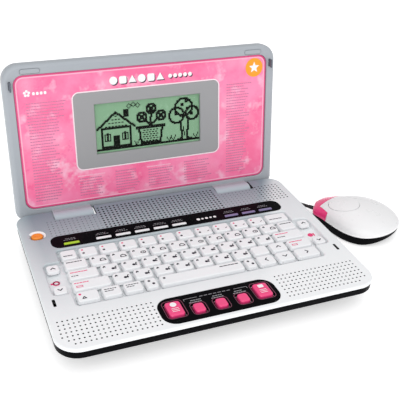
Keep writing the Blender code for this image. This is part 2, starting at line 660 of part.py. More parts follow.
def lid(frame):
    back = lid_slab((LID_BACK, LID_PART - GAP / 2))
    round_level(back, LID_BACK, 0.0055)
    open_face = [f for f in back.faces if f.normal.z > 0.9]
    bmesh.ops.delete(back, geom=open_face, context="FACES")
    shell = piece("lid_back_shell", back, GREY, frame)
    wall = shell.modifiers.new("wall", "SOLIDIFY")
    wall.thickness = WALL
    wall.offset = -1.0
    wall.use_even_offset = True
    smooth(shell)

    rim = lid_slab((LID_PART + GAP / 2, LID_FACE))
    round_level(rim, LID_FACE, 0.0044)
    front = piece("lid_front_frame", rim, GREY, frame)
    arms = bmesh.new()
    knuckles = bmesh.new()
    for side in (-1, 1):
        span = sorted((side * KNUCKLE_X[0], side * KNUCKLE_X[1]))
        add_rod(knuckles, (sum(span) / 2, 0, 0), KNUCKLE_R, span[1] - span[0], "X", 20)
        add_slab(arms, (span[0] + 0.0004, span[1] - 0.0004), (0.0010, 0.0098), (-0.0130, -0.0030))
    boolean(front, helper("knuckle_arms", arms, frame), "UNION")
    boolean(front, helper("knuckles", knuckles, frame), "UNION")
    cuts = bmesh.new()
    recess_x = (-PANEL_HALF_W - GAP, PANEL_HALF_W + GAP)
    recess_y = (PANEL_BOTTOM - GAP, PANEL_TOP + GAP)
    add_slab(cuts, recess_x, recess_y, (-0.0128, 0.0), 0.0095, 4)
    boolean(front, helper("panel_recess", cuts, frame), "DIFFERENCE")
    through = slab((-0.1260, 0.1260), (0.0170, 0.1420), (-0.030, -0.010), 0.006, 2)
    for side in (-1, 1):
        add_slab(through, centred(side * 0.1336, 0.0022), centred(CATCH_Y, 0.0082), (-0.0150, 0.0))
        pad_seat = (centred(side * BUMPER_X, 0.0188), centred(BUMPER_Y, 0.0048), (-0.0106, 0.0))
        add_slab(through, *pad_seat, 0.0022, 3)
        add_rod(through, (side * (KNUCKLE_X[0] + KNUCKLE_X[1]) / 2, 0, 0), PIN_R + 0.00008, 0.050, "X")
    boolean(front, helper("frame_window_and_bores", through, frame), "DIFFERENCE")
    smooth(front)

    plate_z = (PANEL_FACE - 0.0015, PANEL_FACE)
    plate = slab((-PANEL_HALF_W, PANEL_HALF_W), (PANEL_BOTTOM, PANEL_TOP), plate_z, 0.0092, 4)
    plate = piece("faceplate", plate, ((0.90, 0.15, 0.33), 0.35), frame)
    window = slab(
        (-BEZEL_HALF_W, BEZEL_HALF_W), (BEZEL_BOTTOM, BEZEL_TOP), (-0.020, 0.0), 0.0060, 3
    )
    boolean(plate, helper("faceplate_window", window, frame), "DIFFERENCE")

    bezel = slab(
        (-BEZEL_HALF_W + GAP, BEZEL_HALF_W - GAP),
        (BEZEL_BOTTOM + GAP, BEZEL_TOP - GAP),
        (-0.0135, BEZEL_FACE),
        0.0057,
        3,
    )
    bezel = piece("screen_bezel", bezel, ((0.36, 0.36, 0.37), 0.4), frame)
    glass_hole = slab((-LCD_HALF_W, LCD_HALF_W), (LCD_BOTTOM, LCD_TOP), (-0.020, 0.0))
    boolean(bezel, helper("bezel_window", glass_hole, frame), "DIFFERENCE")

    glass = slab(
        (-LCD_HALF_W + GAP, LCD_HALF_W - GAP), (LCD_BOTTOM + GAP, LCD_TOP - GAP), (-0.0121, -0.0111)
    )
    piece("screen_window", glass, ((0.75, 0.85, 0.75), 0.08, 0.0, 0.25), frame)
    module = slab((-0.0610, 0.0610), (0.0550, 0.1180), (-0.0175, -0.0138))
    piece("lcd_module", module, ((0.26, 0.48, 0.28), 0.3), frame)

    for side, name in ((-1, "left"), (1, "right")):
        hook = slab(centred(0, 0.0016), centred(0, 0.0076), (-0.0050, 0.0052))
        barb = slab(centred(0, 0.0016), (-0.0045, 0.0), (0.0040, 0.0052))
        made = piece(f"catch_{name}", hook, GREY, frame, (side * 0.1336, CATCH_Y, LID_FACE))
        boolean(made, helper(f"catch_{name}_barb", barb, frame, made.location), "UNION")
        pad = slab(centred(0, 0.0182), centred(0, 0.0042), (-0.0009, 0.0002), 0.0019, 3)
        piece(f"bumper_{name}", pad, RUBBER, frame, (side * BUMPER_X, BUMPER_Y, LID_FACE))


# ---------------------------------------------------------------- mouse
# The mouse's own frame: +x to its nose, +z up, z = 0 on the table.
def mouse_half_width(x, inset=0.0):
    """The plan: a round tail, its widest place behind the middle, and a narrow blunt nose."""
    tail = MOUSE_TAIL - inset
    nose = MOUSE_NOSE - inset
    wide = MOUSE_HALF_W - inset
    tip = MOUSE_NOSE_HALF_W - inset
    if x <= MOUSE_WIDEST:
        part = min(1.0, (MOUSE_WIDEST - x) / (tail + MOUSE_WIDEST))
        return wide * math.sqrt(max(0.0, 1 - part**2.6))
    part = min(1.0, (x - MOUSE_WIDEST) / MOUSE_TAPER)
    blend = 0.5 + 0.5 * math.cos(math.pi * part)
    width = tip + (wide - tip) * blend
    end = (x - (nose - 0.008)) / 0.008
    return width * math.sqrt(max(0.0, 1 - max(0.0, end) ** 2.5))


def mouse_stations(count, inset=0.0):
    """Stations from tail to nose, closer together where the plan curves hard."""
    low = -MOUSE_TAIL + inset
    high = MOUSE_NOSE - inset
    return [low + (high - low) * (0.5 - 0.5 * math.cos(math.pi * k / count)) for k in range(count + 1)]


def crown(x):
    """Height of the back along the mouse."""
    if x > 0:
        return MOUSE_HEIGHT - MOUSE_NOSE_DROP * (x / MOUSE_NOSE) ** 2
    return MOUSE_HEIGHT - MOUSE_TAIL_DROP * (-x / MOUSE_TAIL) ** 2.2


def mouse_dome(inset, floor, rings=7, stations=20):
    """A closed dome over the plan, standing on height floor."""
    bm = bmesh.new()
    lines = []
    for x in mouse_stations(stations, inset)[1:-1]:
        width = mouse_half_width(x, inset)
        top = crown(x) - inset
        line = []
        for k in range(rings + 1):
            turn = math.pi * k / rings
            rise = math.sin(turn) ** 0.8
            line.append(bm.verts.new((x, -width * math.cos(turn), floor + (top - floor) * rise)))
        lines.append(line)
    for one, other in zip(lines, lines[1:]):
        for k in range(rings):
            bm.faces.new((one[k], one[k + 1], other[k + 1], other[k]))
        bm.faces.new((one[0], other[0], other[-1], one[-1]))
    bm.faces.new(lines[0])
    bm.faces.new(list(reversed(lines[-1])))
    return bm


def mouse_base_slab(z, inset, lower_inset=0.0):
    """A plate of the mouse's plan."""
    bm = bmesh.new()
    xs = mouse_stations(16, inset)[1:-1]
    rim = [(x, mouse_half_width(x, inset)) for x in xs]
    rim += [(x, -mouse_half_width(x, inset)) for x in reversed(xs)]
    face = bm.faces.new([bm.verts.new((x, y, z[0])) for x, y in rim])
    grown = bmesh.ops.extrude_face_region(bm, geom=[face])["geom"]
    for vert in [v for v in grown if isinstance(v, bmesh.types.BMVert)]:
        vert.co.z = z[1]
    if lower_inset:
        lower = [v for v in bm.verts if abs(v.co.z - z[0]) < 1e-7]
        shrink = (1 - lower_inset / MOUSE_NOSE, 1 - lower_inset / MOUSE_HALF_W, 1)
        bmesh.ops.scale(bm, vec=shrink, verts=lower)
    return bm


def oval_rod(inset, length):
    """An upright rod of the mouse key's plan."""
    bm = bmesh.new()
    add_rod(bm, (0, 0, 0), 1.0, length, "Z", 28)
    bmesh.ops.scale(bm, vec=(MOUSE_KEY_R[0] - inset, MOUSE_KEY_R[1] - inset, 1), verts=bm.verts)
    bmesh.ops.translate(bm, vec=(*MOUSE_KEY_XY, 0.030), verts=bm.verts)
    return bm


def mouse(frame):
    shell = mouse_base_slab((MOUSE_FLOOR_Z, MOUSE_SPLIT_Z - GAP), 0.0006, 0.0008)
    base = piece("mouse_base", shell, BLACK, frame)
    hollow = mouse_base_slab((0.0030, MOUSE_SPLIT_Z + 0.01), 0.0036)
    boolean(base, helper("mouse_base_hollow", hollow, frame), "DIFFERENCE")
    outlet = bmesh.new()
    add_rod(outlet, (MOUSE_NOSE, 0, MOUSE_OUTLET_Z), 0.0028, 0.016, "X", 12)
    boolean(base, helper("mouse_outlet", outlet, frame), "DIFFERENCE")

    top = piece("mouse_top", mouse_dome(0.0, MOUSE_SPLIT_Z), WHITE, frame)
    hollow = helper("mouse_top_hollow", mouse_dome(MOUSE_WALL, MOUSE_SPLIT_Z - 0.002), frame)
    boolean(top, hollow, "DIFFERENCE")
    nose_cut = slab((MOUSE_NOSE - MOUSE_COLLAR, MOUSE_NOSE + 0.01), (-0.05, 0.05), (0.0, 0.05))
    boolean(top, helper("mouse_nose_cut", nose_cut, frame), "DIFFERENCE")
    boolean(top, helper("mouse_key_cut", oval_rod(0.0, 0.030), frame), "DIFFERENCE")
    smooth(top)

    collar = piece("mouse_collar", mouse_dome(0.0, MOUSE_SPLIT_Z), PINK, frame)
    boolean(collar, hollow, "DIFFERENCE")
    keep = slab((MOUSE_NOSE - MOUSE_COLLAR + GAP, MOUSE_NOSE + 0.01), (-0.05, 0.05), (0.0, 0.05))
    boolean(collar, helper("mouse_collar_keep", keep, frame), "INTERSECT")
    smooth(collar)

    key = piece("mouse_key", mouse_dome(-0.0003, MOUSE_SPLIT_Z), WHITE, frame)
    boolean(key, hollow, "DIFFERENCE")
    boolean(key, helper("mouse_key_keep", oval_rod(GAP, 0.028), frame), "INTERSECT")
    smooth(key)

    board = slab((-0.030, 0.030), (-0.0095, 0.0095), (0.0045, 0.0060))
    piece("mouse_board", board, BOARD_GREEN, frame)
    glide = slab((-0.020, 0.012), (-0.0140, 0.0140), (0.0, 0.0005), 0.006, 3)
    piece("mouse_glide", glide, RUBBER, frame)
    sleeve = [(0, 0.0070), (0.0020, 0.0070), (0.0024, -0.0046), (0.0028, -0.0046)]
    sleeve += [(0.0028, -0.0060), (0, -0.0060)]
    place = (MOUSE_NOSE, 0, MOUSE_OUTLET_Z)
    turned("mouse_strain_relief", sleeve, RUBBER, frame, place, (0, math.pi / 2, 0), 12)


# ---------------------------------------------------------------- mouse cord
CORD_GUIDE = [               # the route's points in the laptop's frame, from the gland to the mouse
    (0.1359, 0.0850, 0.0091),
    (0.1385, 0.0851, 0.0057),
    (0.1418, 0.0857, 0.0032),
    (0.1458, 0.0874, 0.0020),
    (0.1495, 0.0905, 0.0018),
    (0.1518, 0.0950, 0.0018),
    (0.1524, 0.1010, 0.0018),
    (0.1510, 0.1085, 0.0018),
    (0.1465, 0.1170, 0.0018),
    (0.1380, 0.1245, 0.0018),
    (0.1200, 0.1275, 0.0018),
    (0.0800, 0.1275, 0.0018),
    (0.0420, 0.1278, 0.0018),
    (0.0310, 0.1310, 0.0018),
    (0.0270, 0.1375, 0.0018),
    (0.0310, 0.1440, 0.0018),
    (0.0420, 0.1470, 0.0018),
    (0.0800, 0.1472, 0.0018),
    (0.1200, 0.1470, 0.0018),
    (0.1400, 0.1440, 0.0018),
    (0.1540, 0.1340, 0.0018),
    (0.1610, 0.1180, 0.0018),
    (0.1635, 0.1000, 0.0018),
    (0.1640, 0.0850, 0.0020),
]
CORD_STEP = 0.0075


def smooth_route(guide, step):
    """Points about one step apart on a Catmull-Rom curve through the guide's points."""
    points = [Vector(p) for p in guide]
    points = [2 * points[0] - points[1], *points, 2 * points[-1] - points[-2]]
    route = []
    for a, b, c, d in zip(points, points[1:], points[2:], points[3:]):
        count = max(1, round((c - b).length / step))
        for k in range(count):
            t = k / count
            bend = (2 * a - 5 * b + 4 * c - d) * t**2 + (3 * b - a - 3 * c + d) * t**3
            route.append((2 * b + (c - a) * t + bend) / 2)
    route.append(points[-2])
    return route


def cord(frame):
    """The cord from the base's gland, folded once behind the lid, to the mouse's strain relief."""
    heading = math.radians(MOUSE_HEADING)
    nose = Vector((math.cos(heading), math.sin(heading), 0))
    end = Vector((*MOUSE_XY, MOUSE_OUTLET_Z)) + nose * (MOUSE_NOSE + 0.0070 + 2 * GAP)
    guide = [*CORD_GUIDE, end + nose * 0.010 + Vector((0, 0.006, -0.002)), end]
    route = smooth_route(guide, CORD_STEP)
    curve = bpy.data.curves.new("mouse_cord", "CURVE")
    curve.dimensions = "3D"
    curve.bevel_depth = CORD_R
    curve.bevel_resolution = 2
    curve.use_fill_caps = True
    spline = curve.splines.new("POLY")
    spline.points.add(len(route) - 1)
    for point, place in zip(spline.points, route):
        point.co = (*place, 1.0)
    made = bpy.data.objects.new("mouse_cord", curve)
    laptop.objects.link(made)
    made.parent = frame
    curve.materials.append(material("mouse_cord", (0.012, 0.012, 0.014), 0.5))


def build():
    clear_scene()
    base = empty("base", (ORIGIN_X, ORIGIN_Y, 0))
    lid_frame = empty("lid", (0, HINGE_Y, HINGE_Z), base, (math.radians(90 - LID_LEAN), 0, 0))
    mouse_frame = empty("mouse", (*MOUSE_XY, 0), base, (0, 0, math.radians(MOUSE_HEADING)))
    top_case(base)
    bottom_case(base)
    inlays(base)
    keyboard(base)
    side_keys(base)
    strip_keys(base)
    pink_keys(base)
    power_button(base)
    inside_base(base)
    lid(lid_frame)
    mouse(mouse_frame)
    cord(base)


build()
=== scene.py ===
"""Looks for the toy laptop computer with a corded mouse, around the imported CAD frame. Metres, +Z up."""

import json
import random
from math import cos, hypot, pi, radians, sin, sqrt

import bmesh
import bpy
from mathutils import Matrix, Vector


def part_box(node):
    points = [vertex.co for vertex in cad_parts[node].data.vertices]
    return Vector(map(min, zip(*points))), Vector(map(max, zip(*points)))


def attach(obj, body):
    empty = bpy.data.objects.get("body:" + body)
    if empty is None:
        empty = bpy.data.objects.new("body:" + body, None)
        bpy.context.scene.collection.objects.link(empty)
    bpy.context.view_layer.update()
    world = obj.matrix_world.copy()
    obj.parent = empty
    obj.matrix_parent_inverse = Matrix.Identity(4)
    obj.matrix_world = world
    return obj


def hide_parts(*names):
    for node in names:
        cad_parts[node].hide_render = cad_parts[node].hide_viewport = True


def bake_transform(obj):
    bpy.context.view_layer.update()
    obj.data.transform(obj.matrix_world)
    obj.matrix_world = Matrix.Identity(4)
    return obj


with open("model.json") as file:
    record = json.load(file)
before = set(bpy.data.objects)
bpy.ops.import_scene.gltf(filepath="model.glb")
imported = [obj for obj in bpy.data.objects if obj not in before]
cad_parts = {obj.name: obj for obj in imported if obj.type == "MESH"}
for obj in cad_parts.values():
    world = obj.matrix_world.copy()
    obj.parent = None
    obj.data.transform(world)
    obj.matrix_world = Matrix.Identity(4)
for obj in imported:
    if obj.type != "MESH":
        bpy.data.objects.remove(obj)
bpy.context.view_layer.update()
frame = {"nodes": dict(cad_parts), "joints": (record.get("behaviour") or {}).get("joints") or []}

# ---- places
case_low, case_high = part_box("top_case")
LAPTOP = Vector(((case_low.x + case_high.x) / 2, case_low.y + 0.1015, 0))
BASE = Matrix.Translation(LAPTOP)
HINGE = Vector(next(j["pos_m"] for j in frame["joints"] if j["name"] == "lid_hinge"))
LID = Matrix.Translation(HINGE) @ Matrix.Rotation(radians(81.9), 4, "X")
MOUSE_AT = Vector((0.199, 0.0262, 0))
MOUSE_TURN = radians(128.5)
MOUSE = Matrix.Translation(LAPTOP + MOUSE_AT) @ Matrix.Rotation(MOUSE_TURN, 4, "Z")

HALF_W = 0.1435
FRONT = -0.1015
REAR = 0.1035
TOP = case_high.z
WELL_FLOOR = 0.023
ROW_Y = [0.0244 - 0.0159 * row for row in range(5)]
FIRST_LETTER_X = [-0.0896, -0.0836, -0.0776, -0.071]
LETTERS = [10, 10, 9, 9]
KEYS_EDGE = 0.1163
BOTTOM_ROW = [-0.1163, -0.0945, -0.0755, -0.0565, -0.043, 0.0385, 0.051, 0.0705, 0.09, 0.1163]
SPACE = 4
CAP_INSET = 0.0011
CAP_TOP = 0.0285
SIDE_KEY_X = 0.1253
SIDE_KEYS = [(x, y) for x in (-SIDE_KEY_X, SIDE_KEY_X) for y in (0.0079, -0.0238)]
STRIP_KEYS = {
    "green_mode_key": [-0.1005],
    "activity_keys": [-0.07 + 0.019 * k for k in range(5)],
    "menu_keys": [0.062 + 0.019 * k for k in range(3)],
}
STRIP_Y = 0.047
STRIP_KEY_Y = 0.0422
PANEL_X = -0.0033
PANEL_Y = -0.0807
PINK_KEYS = [
    (-0.04, -0.0798, 0.0143, 0.019),
    (-0.02, -0.0845, 0.0103, 0.0121),
    (0.0, -0.0845, 0.0103, 0.0121),
    (0.02, -0.0845, 0.0103, 0.0121),
    (0.04, -0.0798, 0.0143, 0.019),
]
POWER = (-0.1286, 0.0637)
PITCH = 0.0041
KNUCKLES = ((-0.1066, -0.0668), (0.0668, 0.1066))
NOSE, TAIL, WIDE, TIP, WIDEST, TAPER = 0.0434, 0.048, 0.0374, 0.018, -0.0114, 0.058
GLAND = Matrix.Translation((0.134, 0.085, 0.012)) @ Matrix.Rotation(radians(146.3), 4, "Y")
CORD_D = 0.0035
COAT_ROUGH = 0.06
CORD_LOW = [
    (0.1495, 0.0905), (0.1518, 0.095), (0.1524, 0.101), (0.151, 0.1085), (0.1465, 0.117),
    (0.138, 0.1245), (0.12, 0.1275), (0.08, 0.1275), (0.042, 0.1278), (0.031, 0.131),
    (0.027, 0.1375), (0.031, 0.144), (0.042, 0.147), (0.08, 0.1472), (0.12, 0.147),
    (0.14, 0.144), (0.154, 0.134), (0.161, 0.118), (0.1635, 0.1),
]
CORD_GUIDE = [
    (0.1359, 0.085, 0.0091), (0.1385, 0.0851, 0.0057), (0.1418, 0.0857, 0.0032), (0.1458, 0.0874, 0.002),
    *[(x, y, 0.0018) for x, y in CORD_LOW],
    (0.164, 0.085, 0.002),
]
luck = random.Random(11)

scene = bpy.context.scene
scene.view_settings.view_transform = "Standard"


# ---- materials
def noise(nodes, links, coord, scale, detail, rough=0.5, output="Fac"):
    made = nodes.new("ShaderNodeTexNoise")
    made.inputs["Scale"].default_value = scale
    made.inputs["Detail"].default_value = detail
    made.inputs["Roughness"].default_value = rough
    links.new(coord.outputs["Object"], made.inputs["Vector"])
    return made.outputs[output]


def mixed(nodes, links, factor, one, other, blend="MIX"):
    """A mix node's output. Each of its inputs is a socket to link or a value to set."""
    made = nodes.new("ShaderNodeMix")
    made.data_type = "RGBA"
    made.blend_type = blend
    for index, value in ((0, factor), (6, one), (7, other)):
        if hasattr(value, "is_output"):
            links.new(value, made.inputs[index])
        else:
            made.inputs[index].default_value = (*value, 1.0) if index else value
    return made.outputs[2]


def ranged(nodes, links, value, low, high, to_low, to_high):
    made = nodes.new("ShaderNodeMapRange")
    links.new(value, made.inputs["Value"])
    for socket, limit in (("From Min", low), ("From Max", high), ("To Min", to_low), ("To Max", to_high)):
        made.inputs[socket].default_value = limit
    return made.outputs["Result"]


def surface(
    name, colour, rough, spread=0.03, grain=0.05, grain_scale=2200.0, metallic=0.0, coat=0.0, specular=0.5,
    alpha=1.0,
):
    """Moulded plastic, rubber or metal: slow colour drift, a fine grain in the bump, uneven gloss."""
    made = bpy.data.materials.new(name)
    made.use_nodes = True
    nodes, links = made.node_tree.nodes, made.node_tree.links
    shader = nodes["Principled BSDF"]
    coord = nodes.new("ShaderNodeTexCoord")
    drift = noise(nodes, links, coord, 28.0, 3.0)
    dark = [c * (1 - spread) for c in colour]
    light = [min(1.0, c * (1 + spread)) for c in colour]
    links.new(mixed(nodes, links, drift, dark, light), shader.inputs["Base Color"])
    smear = noise(nodes, links, coord, 90.0, 4.0, 0.6)
    gloss = ranged(nodes, links, smear, 0.3, 0.7, rough * 0.85, min(1.0, rough * 1.15))
    links.new(gloss, shader.inputs["Roughness"])
    if grain:
        fine = noise(nodes, links, coord, grain_scale, 1.0)
        bump = nodes.new("ShaderNodeBump")
        bump.inputs["Strength"].default_value = grain
        bump.inputs["Distance"].default_value = 0.0002
        links.new(fine, bump.inputs["Height"])
        links.new(bump.outputs["Normal"], shader.inputs["Normal"])
    values = {"Metallic": metallic, "Coat Weight": coat, "Coat Roughness": COAT_ROUGH}
    for socket, value in {**values, "Specular IOR Level": specular, "Alpha": alpha}.items():
        shader.inputs[socket].default_value = value
    return made


def flat_colour(name, colour, rough=0.5, spread=0.1, specular=0.5):
    """Ink, or a surface too small for its grain to show."""
    return surface(name, colour, rough, spread, grain=0.0, specular=specular)


def add_painted_shade(made, middle, rear, front, shade):
    """Multiplies the base colour by a painted shade, greyest at the rear under the lid, that fades from the
    rear to the front, towards both sides and below the top surface.
    """
    nodes, links = made.node_tree.nodes, made.node_tree.links
    shader = nodes["Principled BSDF"]
    before = shader.inputs["Base Color"].links[0].from_socket
    coord = nodes.new("ShaderNodeTexCoord")
    split = nodes.new("ShaderNodeSeparateXYZ")
    links.new(coord.outputs["Object"], split.inputs[0])
    white = (1.0, 1.0, 1.0)
    slant = nodes.new("ShaderNodeMath")
    slant.operation = "MULTIPLY_ADD"
    links.new(split.outputs[1], slant.inputs[0])
    slant.inputs[1].default_value = -0.5
    links.new(split.outputs[0], slant.inputs[2])
    start = middle + 0.104 - 0.5 * (LAPTOP.y + 0.06)
    for value, low, high, most in (
        (split.outputs[1], rear, front, 1.0),
        (slant.outputs[0], start, start + 0.016, 0.68),
        (split.outputs[0], middle - 0.128, middle - 0.142, 0.35),
        (split.outputs[2], TOP - 0.0012, TOP - 0.003, 0.6),
    ):
        shade = mixed(nodes, links, ranged(nodes, links, value, low, high, 0.0, most), shade, white)
    links.new(mixed(nodes, links, 1.0, before, shade, "MULTIPLY"), shader.inputs["Base Color"])


def pink_print():
    """The printed sheet: soft blots in several pinks."""
    made = surface("pink_print", (1.0, 0.2, 0.4), 0.3, grain=0.0, coat=0.3)
    nodes, links = made.node_tree.nodes, made.node_tree.links
    shader = nodes["Principled BSDF"]
    coord = nodes.new("ShaderNodeTexCoord")
    warp = noise(nodes, links, coord, 18.0, 2.0, output="Color")
    bend = mixed(nodes, links, 0.02, coord.outputs["Object"], warp)
    blots = nodes.new("ShaderNodeTexVoronoi")
    blots.feature = "SMOOTH_F1"
    blots.inputs["Scale"].default_value = 34.0
    blots.inputs["Smoothness"].default_value = 0.35
    links.new(bend, blots.inputs["Vector"])
    cloud = noise(nodes, links, coord, 22.0, 4.0, 0.62)
    spots = noise(nodes, links, coord, 60.0, 3.0, 0.6)
    colour = (0.96, 0.14, 0.33)
    for pattern, low, high, most, lighter in (
        (cloud, 0.38, 0.64, 1.0, (1.0, 0.27, 0.48)),
        (blots.outputs["Distance"], 0.42, 0.1, 0.55, (1.0, 0.4, 0.58)),
        (spots, 0.54, 0.7, 0.8, (1.0, 0.55, 0.7)),
    ):
        colour = mixed(nodes, links, ranged(nodes, links, pattern, low, high, 0.0, most), colour, lighter)
    links.new(colour, shader.inputs["Base Color"])
    return made


WHITE = surface("case_plastic", (0.895, 0.915, 0.93), 0.42, spread=0.02, grain=0.1)
# painted shade on the case plastic: grey-blue at the rear under the lid, lighter towards the front and the
# sides
add_painted_shade(WHITE, LAPTOP.x, LAPTOP.y + 0.098, LAPTOP.y - 0.075, (0.235, 0.325, 0.365))
KEY_WHITE = surface("key_plastic", (0.87, 0.885, 0.905), 0.45, spread=0.015, grain=0.08)
LID_GREY = surface("lid_plastic", (0.385, 0.415, 0.45), 0.38, grain=0.12)
KNUCKLE_GREY = surface("knuckle_plastic", (0.43, 0.5, 0.55), 0.45, grain=0.1)
DARK_GREY = surface("catch_plastic", (0.1, 0.11, 0.14), 0.35)
BLACK = surface("black_plastic", (0.003, 0.003, 0.004), 0.3, spread=0.2, grain=0.02, specular=0.03)
GLOSS_BLACK = flat_colour("inlay_plastic", (0.003, 0.003, 0.004), 0.2, 0.2, 0.02)
RUBBER = surface("rubber", (0.022, 0.022, 0.024), 0.75, spread=0.15, grain=0.25, grain_scale=1200.0)
STEEL = surface("steel", (0.55, 0.56, 0.58), 0.32, grain=0.1, metallic=1.0)
PINK = surface("pink_plastic", (0.9, 0.05, 0.22), 0.22, spread=0.05, grain=0.02, coat=0.4)
PINK_PRINT = pink_print()
PINK_EDGE = surface("pink_margin", (0.8, 0.07, 0.24), 0.3, spread=0.05, grain=0.0, coat=0.3)
PINK_LINE = flat_colour("border_line", (1.0, 0.46, 0.62), 0.35, 0.02)
WHITE_LINE = flat_colour("bezel_line", (0.95, 0.8, 0.85), 0.35, 0.02)
BEZEL = surface("bezel_plastic", (0.33, 0.33, 0.34), 0.45, spread=0.02, grain=0.1)
LCD_GREEN = flat_colour("display_green", (0.27, 0.5, 0.3), 0.25, 0.03)
INK = flat_colour("ink", (0.025, 0.02, 0.035), specular=0.2)
PIXEL = flat_colour("pixel_ink", (0.004, 0.006, 0.004), specular=0.1)
PINK_INK = flat_colour("pink_ink", (0.8, 0.04, 0.18))
TEXT_INK = flat_colour("list_ink", (0.62, 0.19, 0.34))
# white print, and also the painted highlight on the power button's dish rim
WHITE_PRINT_AND_HIGHLIGHT = flat_colour("white_print_and_highlight", (0.92, 0.92, 0.93), 0.45, 0.02)
KEY_GAP_SHADE = flat_colour("key_gap_shade", (0.16, 0.035, 0.07), 0.3)
GREY_INK = flat_colour("label_ink", (0.3, 0.3, 0.32), spread=0.05)
ORANGE = surface("orange_plastic", (0.93, 0.27, 0.01), 0.28, spread=0.06, grain=0.02, coat=0.3)
ORANGE_PRINT = flat_colour("badge_print", (0.95, 0.36, 0.01), 0.32, 0.05)
GREEN = surface("green_plastic", (0.42, 0.66, 0.02), 0.3, spread=0.06, grain=0.02)
LAVENDER = surface("lavender_plastic", (0.22, 0.19, 0.36), 0.3, spread=0.06, grain=0.02)
MOUSE_WHITE = surface("mouse_plastic", (0.87, 0.87, 0.88), 0.3, spread=0.015, grain=0.02, coat=0.15)
CORD_BLACK = surface("cord_jacket", (0.01, 0.01, 0.012), 0.42, spread=0.2, grain=0.1)
# painted shade: near black for the walls of the holes and of the hinge bays' slits
HOLE = flat_colour("hole_shade", (0.016, 0.017, 0.02), 0.8, 0.03)
# painted shade: dark grey for the shallow dimples on the rear deck
DIMPLE = flat_colour("dimple_shade", (0.16, 0.175, 0.195), 0.7, 0.03)
WINDOW = surface("window_plastic", (0.02, 0.03, 0.02), 0.05, 0.01, 0.0, specular=0.2, alpha=0.05)
BOARD = surface("board", (0.02, 0.16, 0.06), 0.45, spread=0.15)
SILICONE = surface("silicone", (0.55, 0.55, 0.52), 0.6)
WRAP = surface("cell_wrap", (0.1, 0.1, 0.12), 0.3, metallic=0.5)


# ---- shapes
def ring(x, y, z, radii, inset=0.0, steps=6):
    """A rounded rectangle at height z. Radii: rear right, rear left, front left, front right."""
    radii = (radii,) * 4 if isinstance(radii, float) else radii
    corners = (
        (x[1] - inset, y[1] - inset, -1, -1),
        (x[0] + inset, y[1] - inset, 1, -1),
        (x[0] + inset, y[0] + inset, 1, 1),
        (x[1] - inset, y[0] + inset, -1, 1),
    )
    points = []
    for (cx, cy, sx, sy), start, radius in zip(corners, (0, 90, 180, 270), radii):
        r = max(radius - inset, 0.0001)
        for k in range(steps + 1):
            turn = radians(start + 90 * k / steps)
            points.append((cx + sx * r + r * cos(turn), cy + sy * r + r * sin(turn), z))
    return points


def loft(bm, rings, material=0):
    """A closed solid through rings with equal numbers of points, from the lowest to the highest."""
    rows = [[bm.verts.new(p) for p in points] for points in rings]
    count = len(rows[0])
    faces = [bm.faces.new(list(reversed(rows[0]))), bm.faces.new(rows[-1])]
    for low, high in zip(rows, rows[1:]):
        for k in range(count):
            faces.append(bm.faces.new((low[k], low[(k + 1) % count], high[(k + 1) % count], high[k])))
    for face in faces:
        face.material_index = material


def span(middle, size):
    return (middle - size / 2, middle + size / 2)


def pad(x, y, width, depth):
    """The edges of a rectangle around (x, y)."""
    return span(x, width), span(y, depth)


def soft_slab(bm, x, y, z, radii, top=0.0, bottom=0.0, lean=0.0, arc=4, steps=6):
    """A rounded slab with rolled top and bottom edges, whose sides lean in by lean."""
    turns = [pi / 2 * k / arc for k in range(arc + 1)]
    levels = [(bottom * (1 - sin(a)), z[0] + bottom * (1 - cos(a))) for a in turns[0 if bottom else -1 :]]
    levels += [(top * (1 - cos(a)), z[1] - top * (1 - sin(a))) for a in turns[0 if top else -1 :]]
    rings = [ring(x, y, h, radii, inset + lean * (h - z[0]) / (z[1] - z[0]), steps) for inset, h in levels]
    loft(bm, rings)


def slab(*size, **shape):
    """A soft slab in a mesh of its own."""
    bm = bmesh.new()
    soft_slab(bm, *size, **shape)
    return bm


def lofted(rings):
    bm = bmesh.new()
    loft(bm, rings)
    return bm


def prism(outline, low, high):
    return [[(*point, z) for point in outline] for z in (low, high)]


def levelled(x, y, radii, steps, levels):
    """A rounded rectangle lofted through (inset, height) pairs, from the lowest."""
    return lofted([ring(x, y, z, radii, inset, steps) for inset, z in levels])


def rod(bm, centre, radius, length, axis="Z", count=16, material=0):
    turn = {"X": Matrix.Rotation(pi / 2, 4, "Y"), "Y": Matrix.Rotation(pi / 2, 4, "X")}
    place = Matrix.Translation(centre) @ turn.get(axis, Matrix.Identity(4))
    made = bmesh.ops.create_cone(
        bm, cap_ends=True, segments=count, radius1=radius, radius2=radius, depth=length, matrix=place
    )
    for face in {f for v in made["verts"] for f in v.link_faces}:
        face.material_index = material


def stroke(bm, points, width, z, height=0.00008, material=0):
    """Thin raised bars along a line of points."""
    for (ax, ay), (bx, by) in zip(points, points[1:]):
        along = Vector((bx - ax, by - ay, 0))
        side = Vector((-along.y, along.x, 0)).normalized() * width / 2
        tip = along.normalized() * width * 0.3
        a = Vector((ax, ay, z)) - tip
        b = Vector((bx, by, z)) + tip
        flat = [a + side, a - side, b - side, b + side]
        loft(bm, [flat, [p + Vector((0, 0, height)) for p in flat]], material)


def disc(bm, x, y, radius, z, height=0.00008, count=12, material=0):
    rod(bm, (x, y, z + height / 2), radius, height, "Z", count, material)


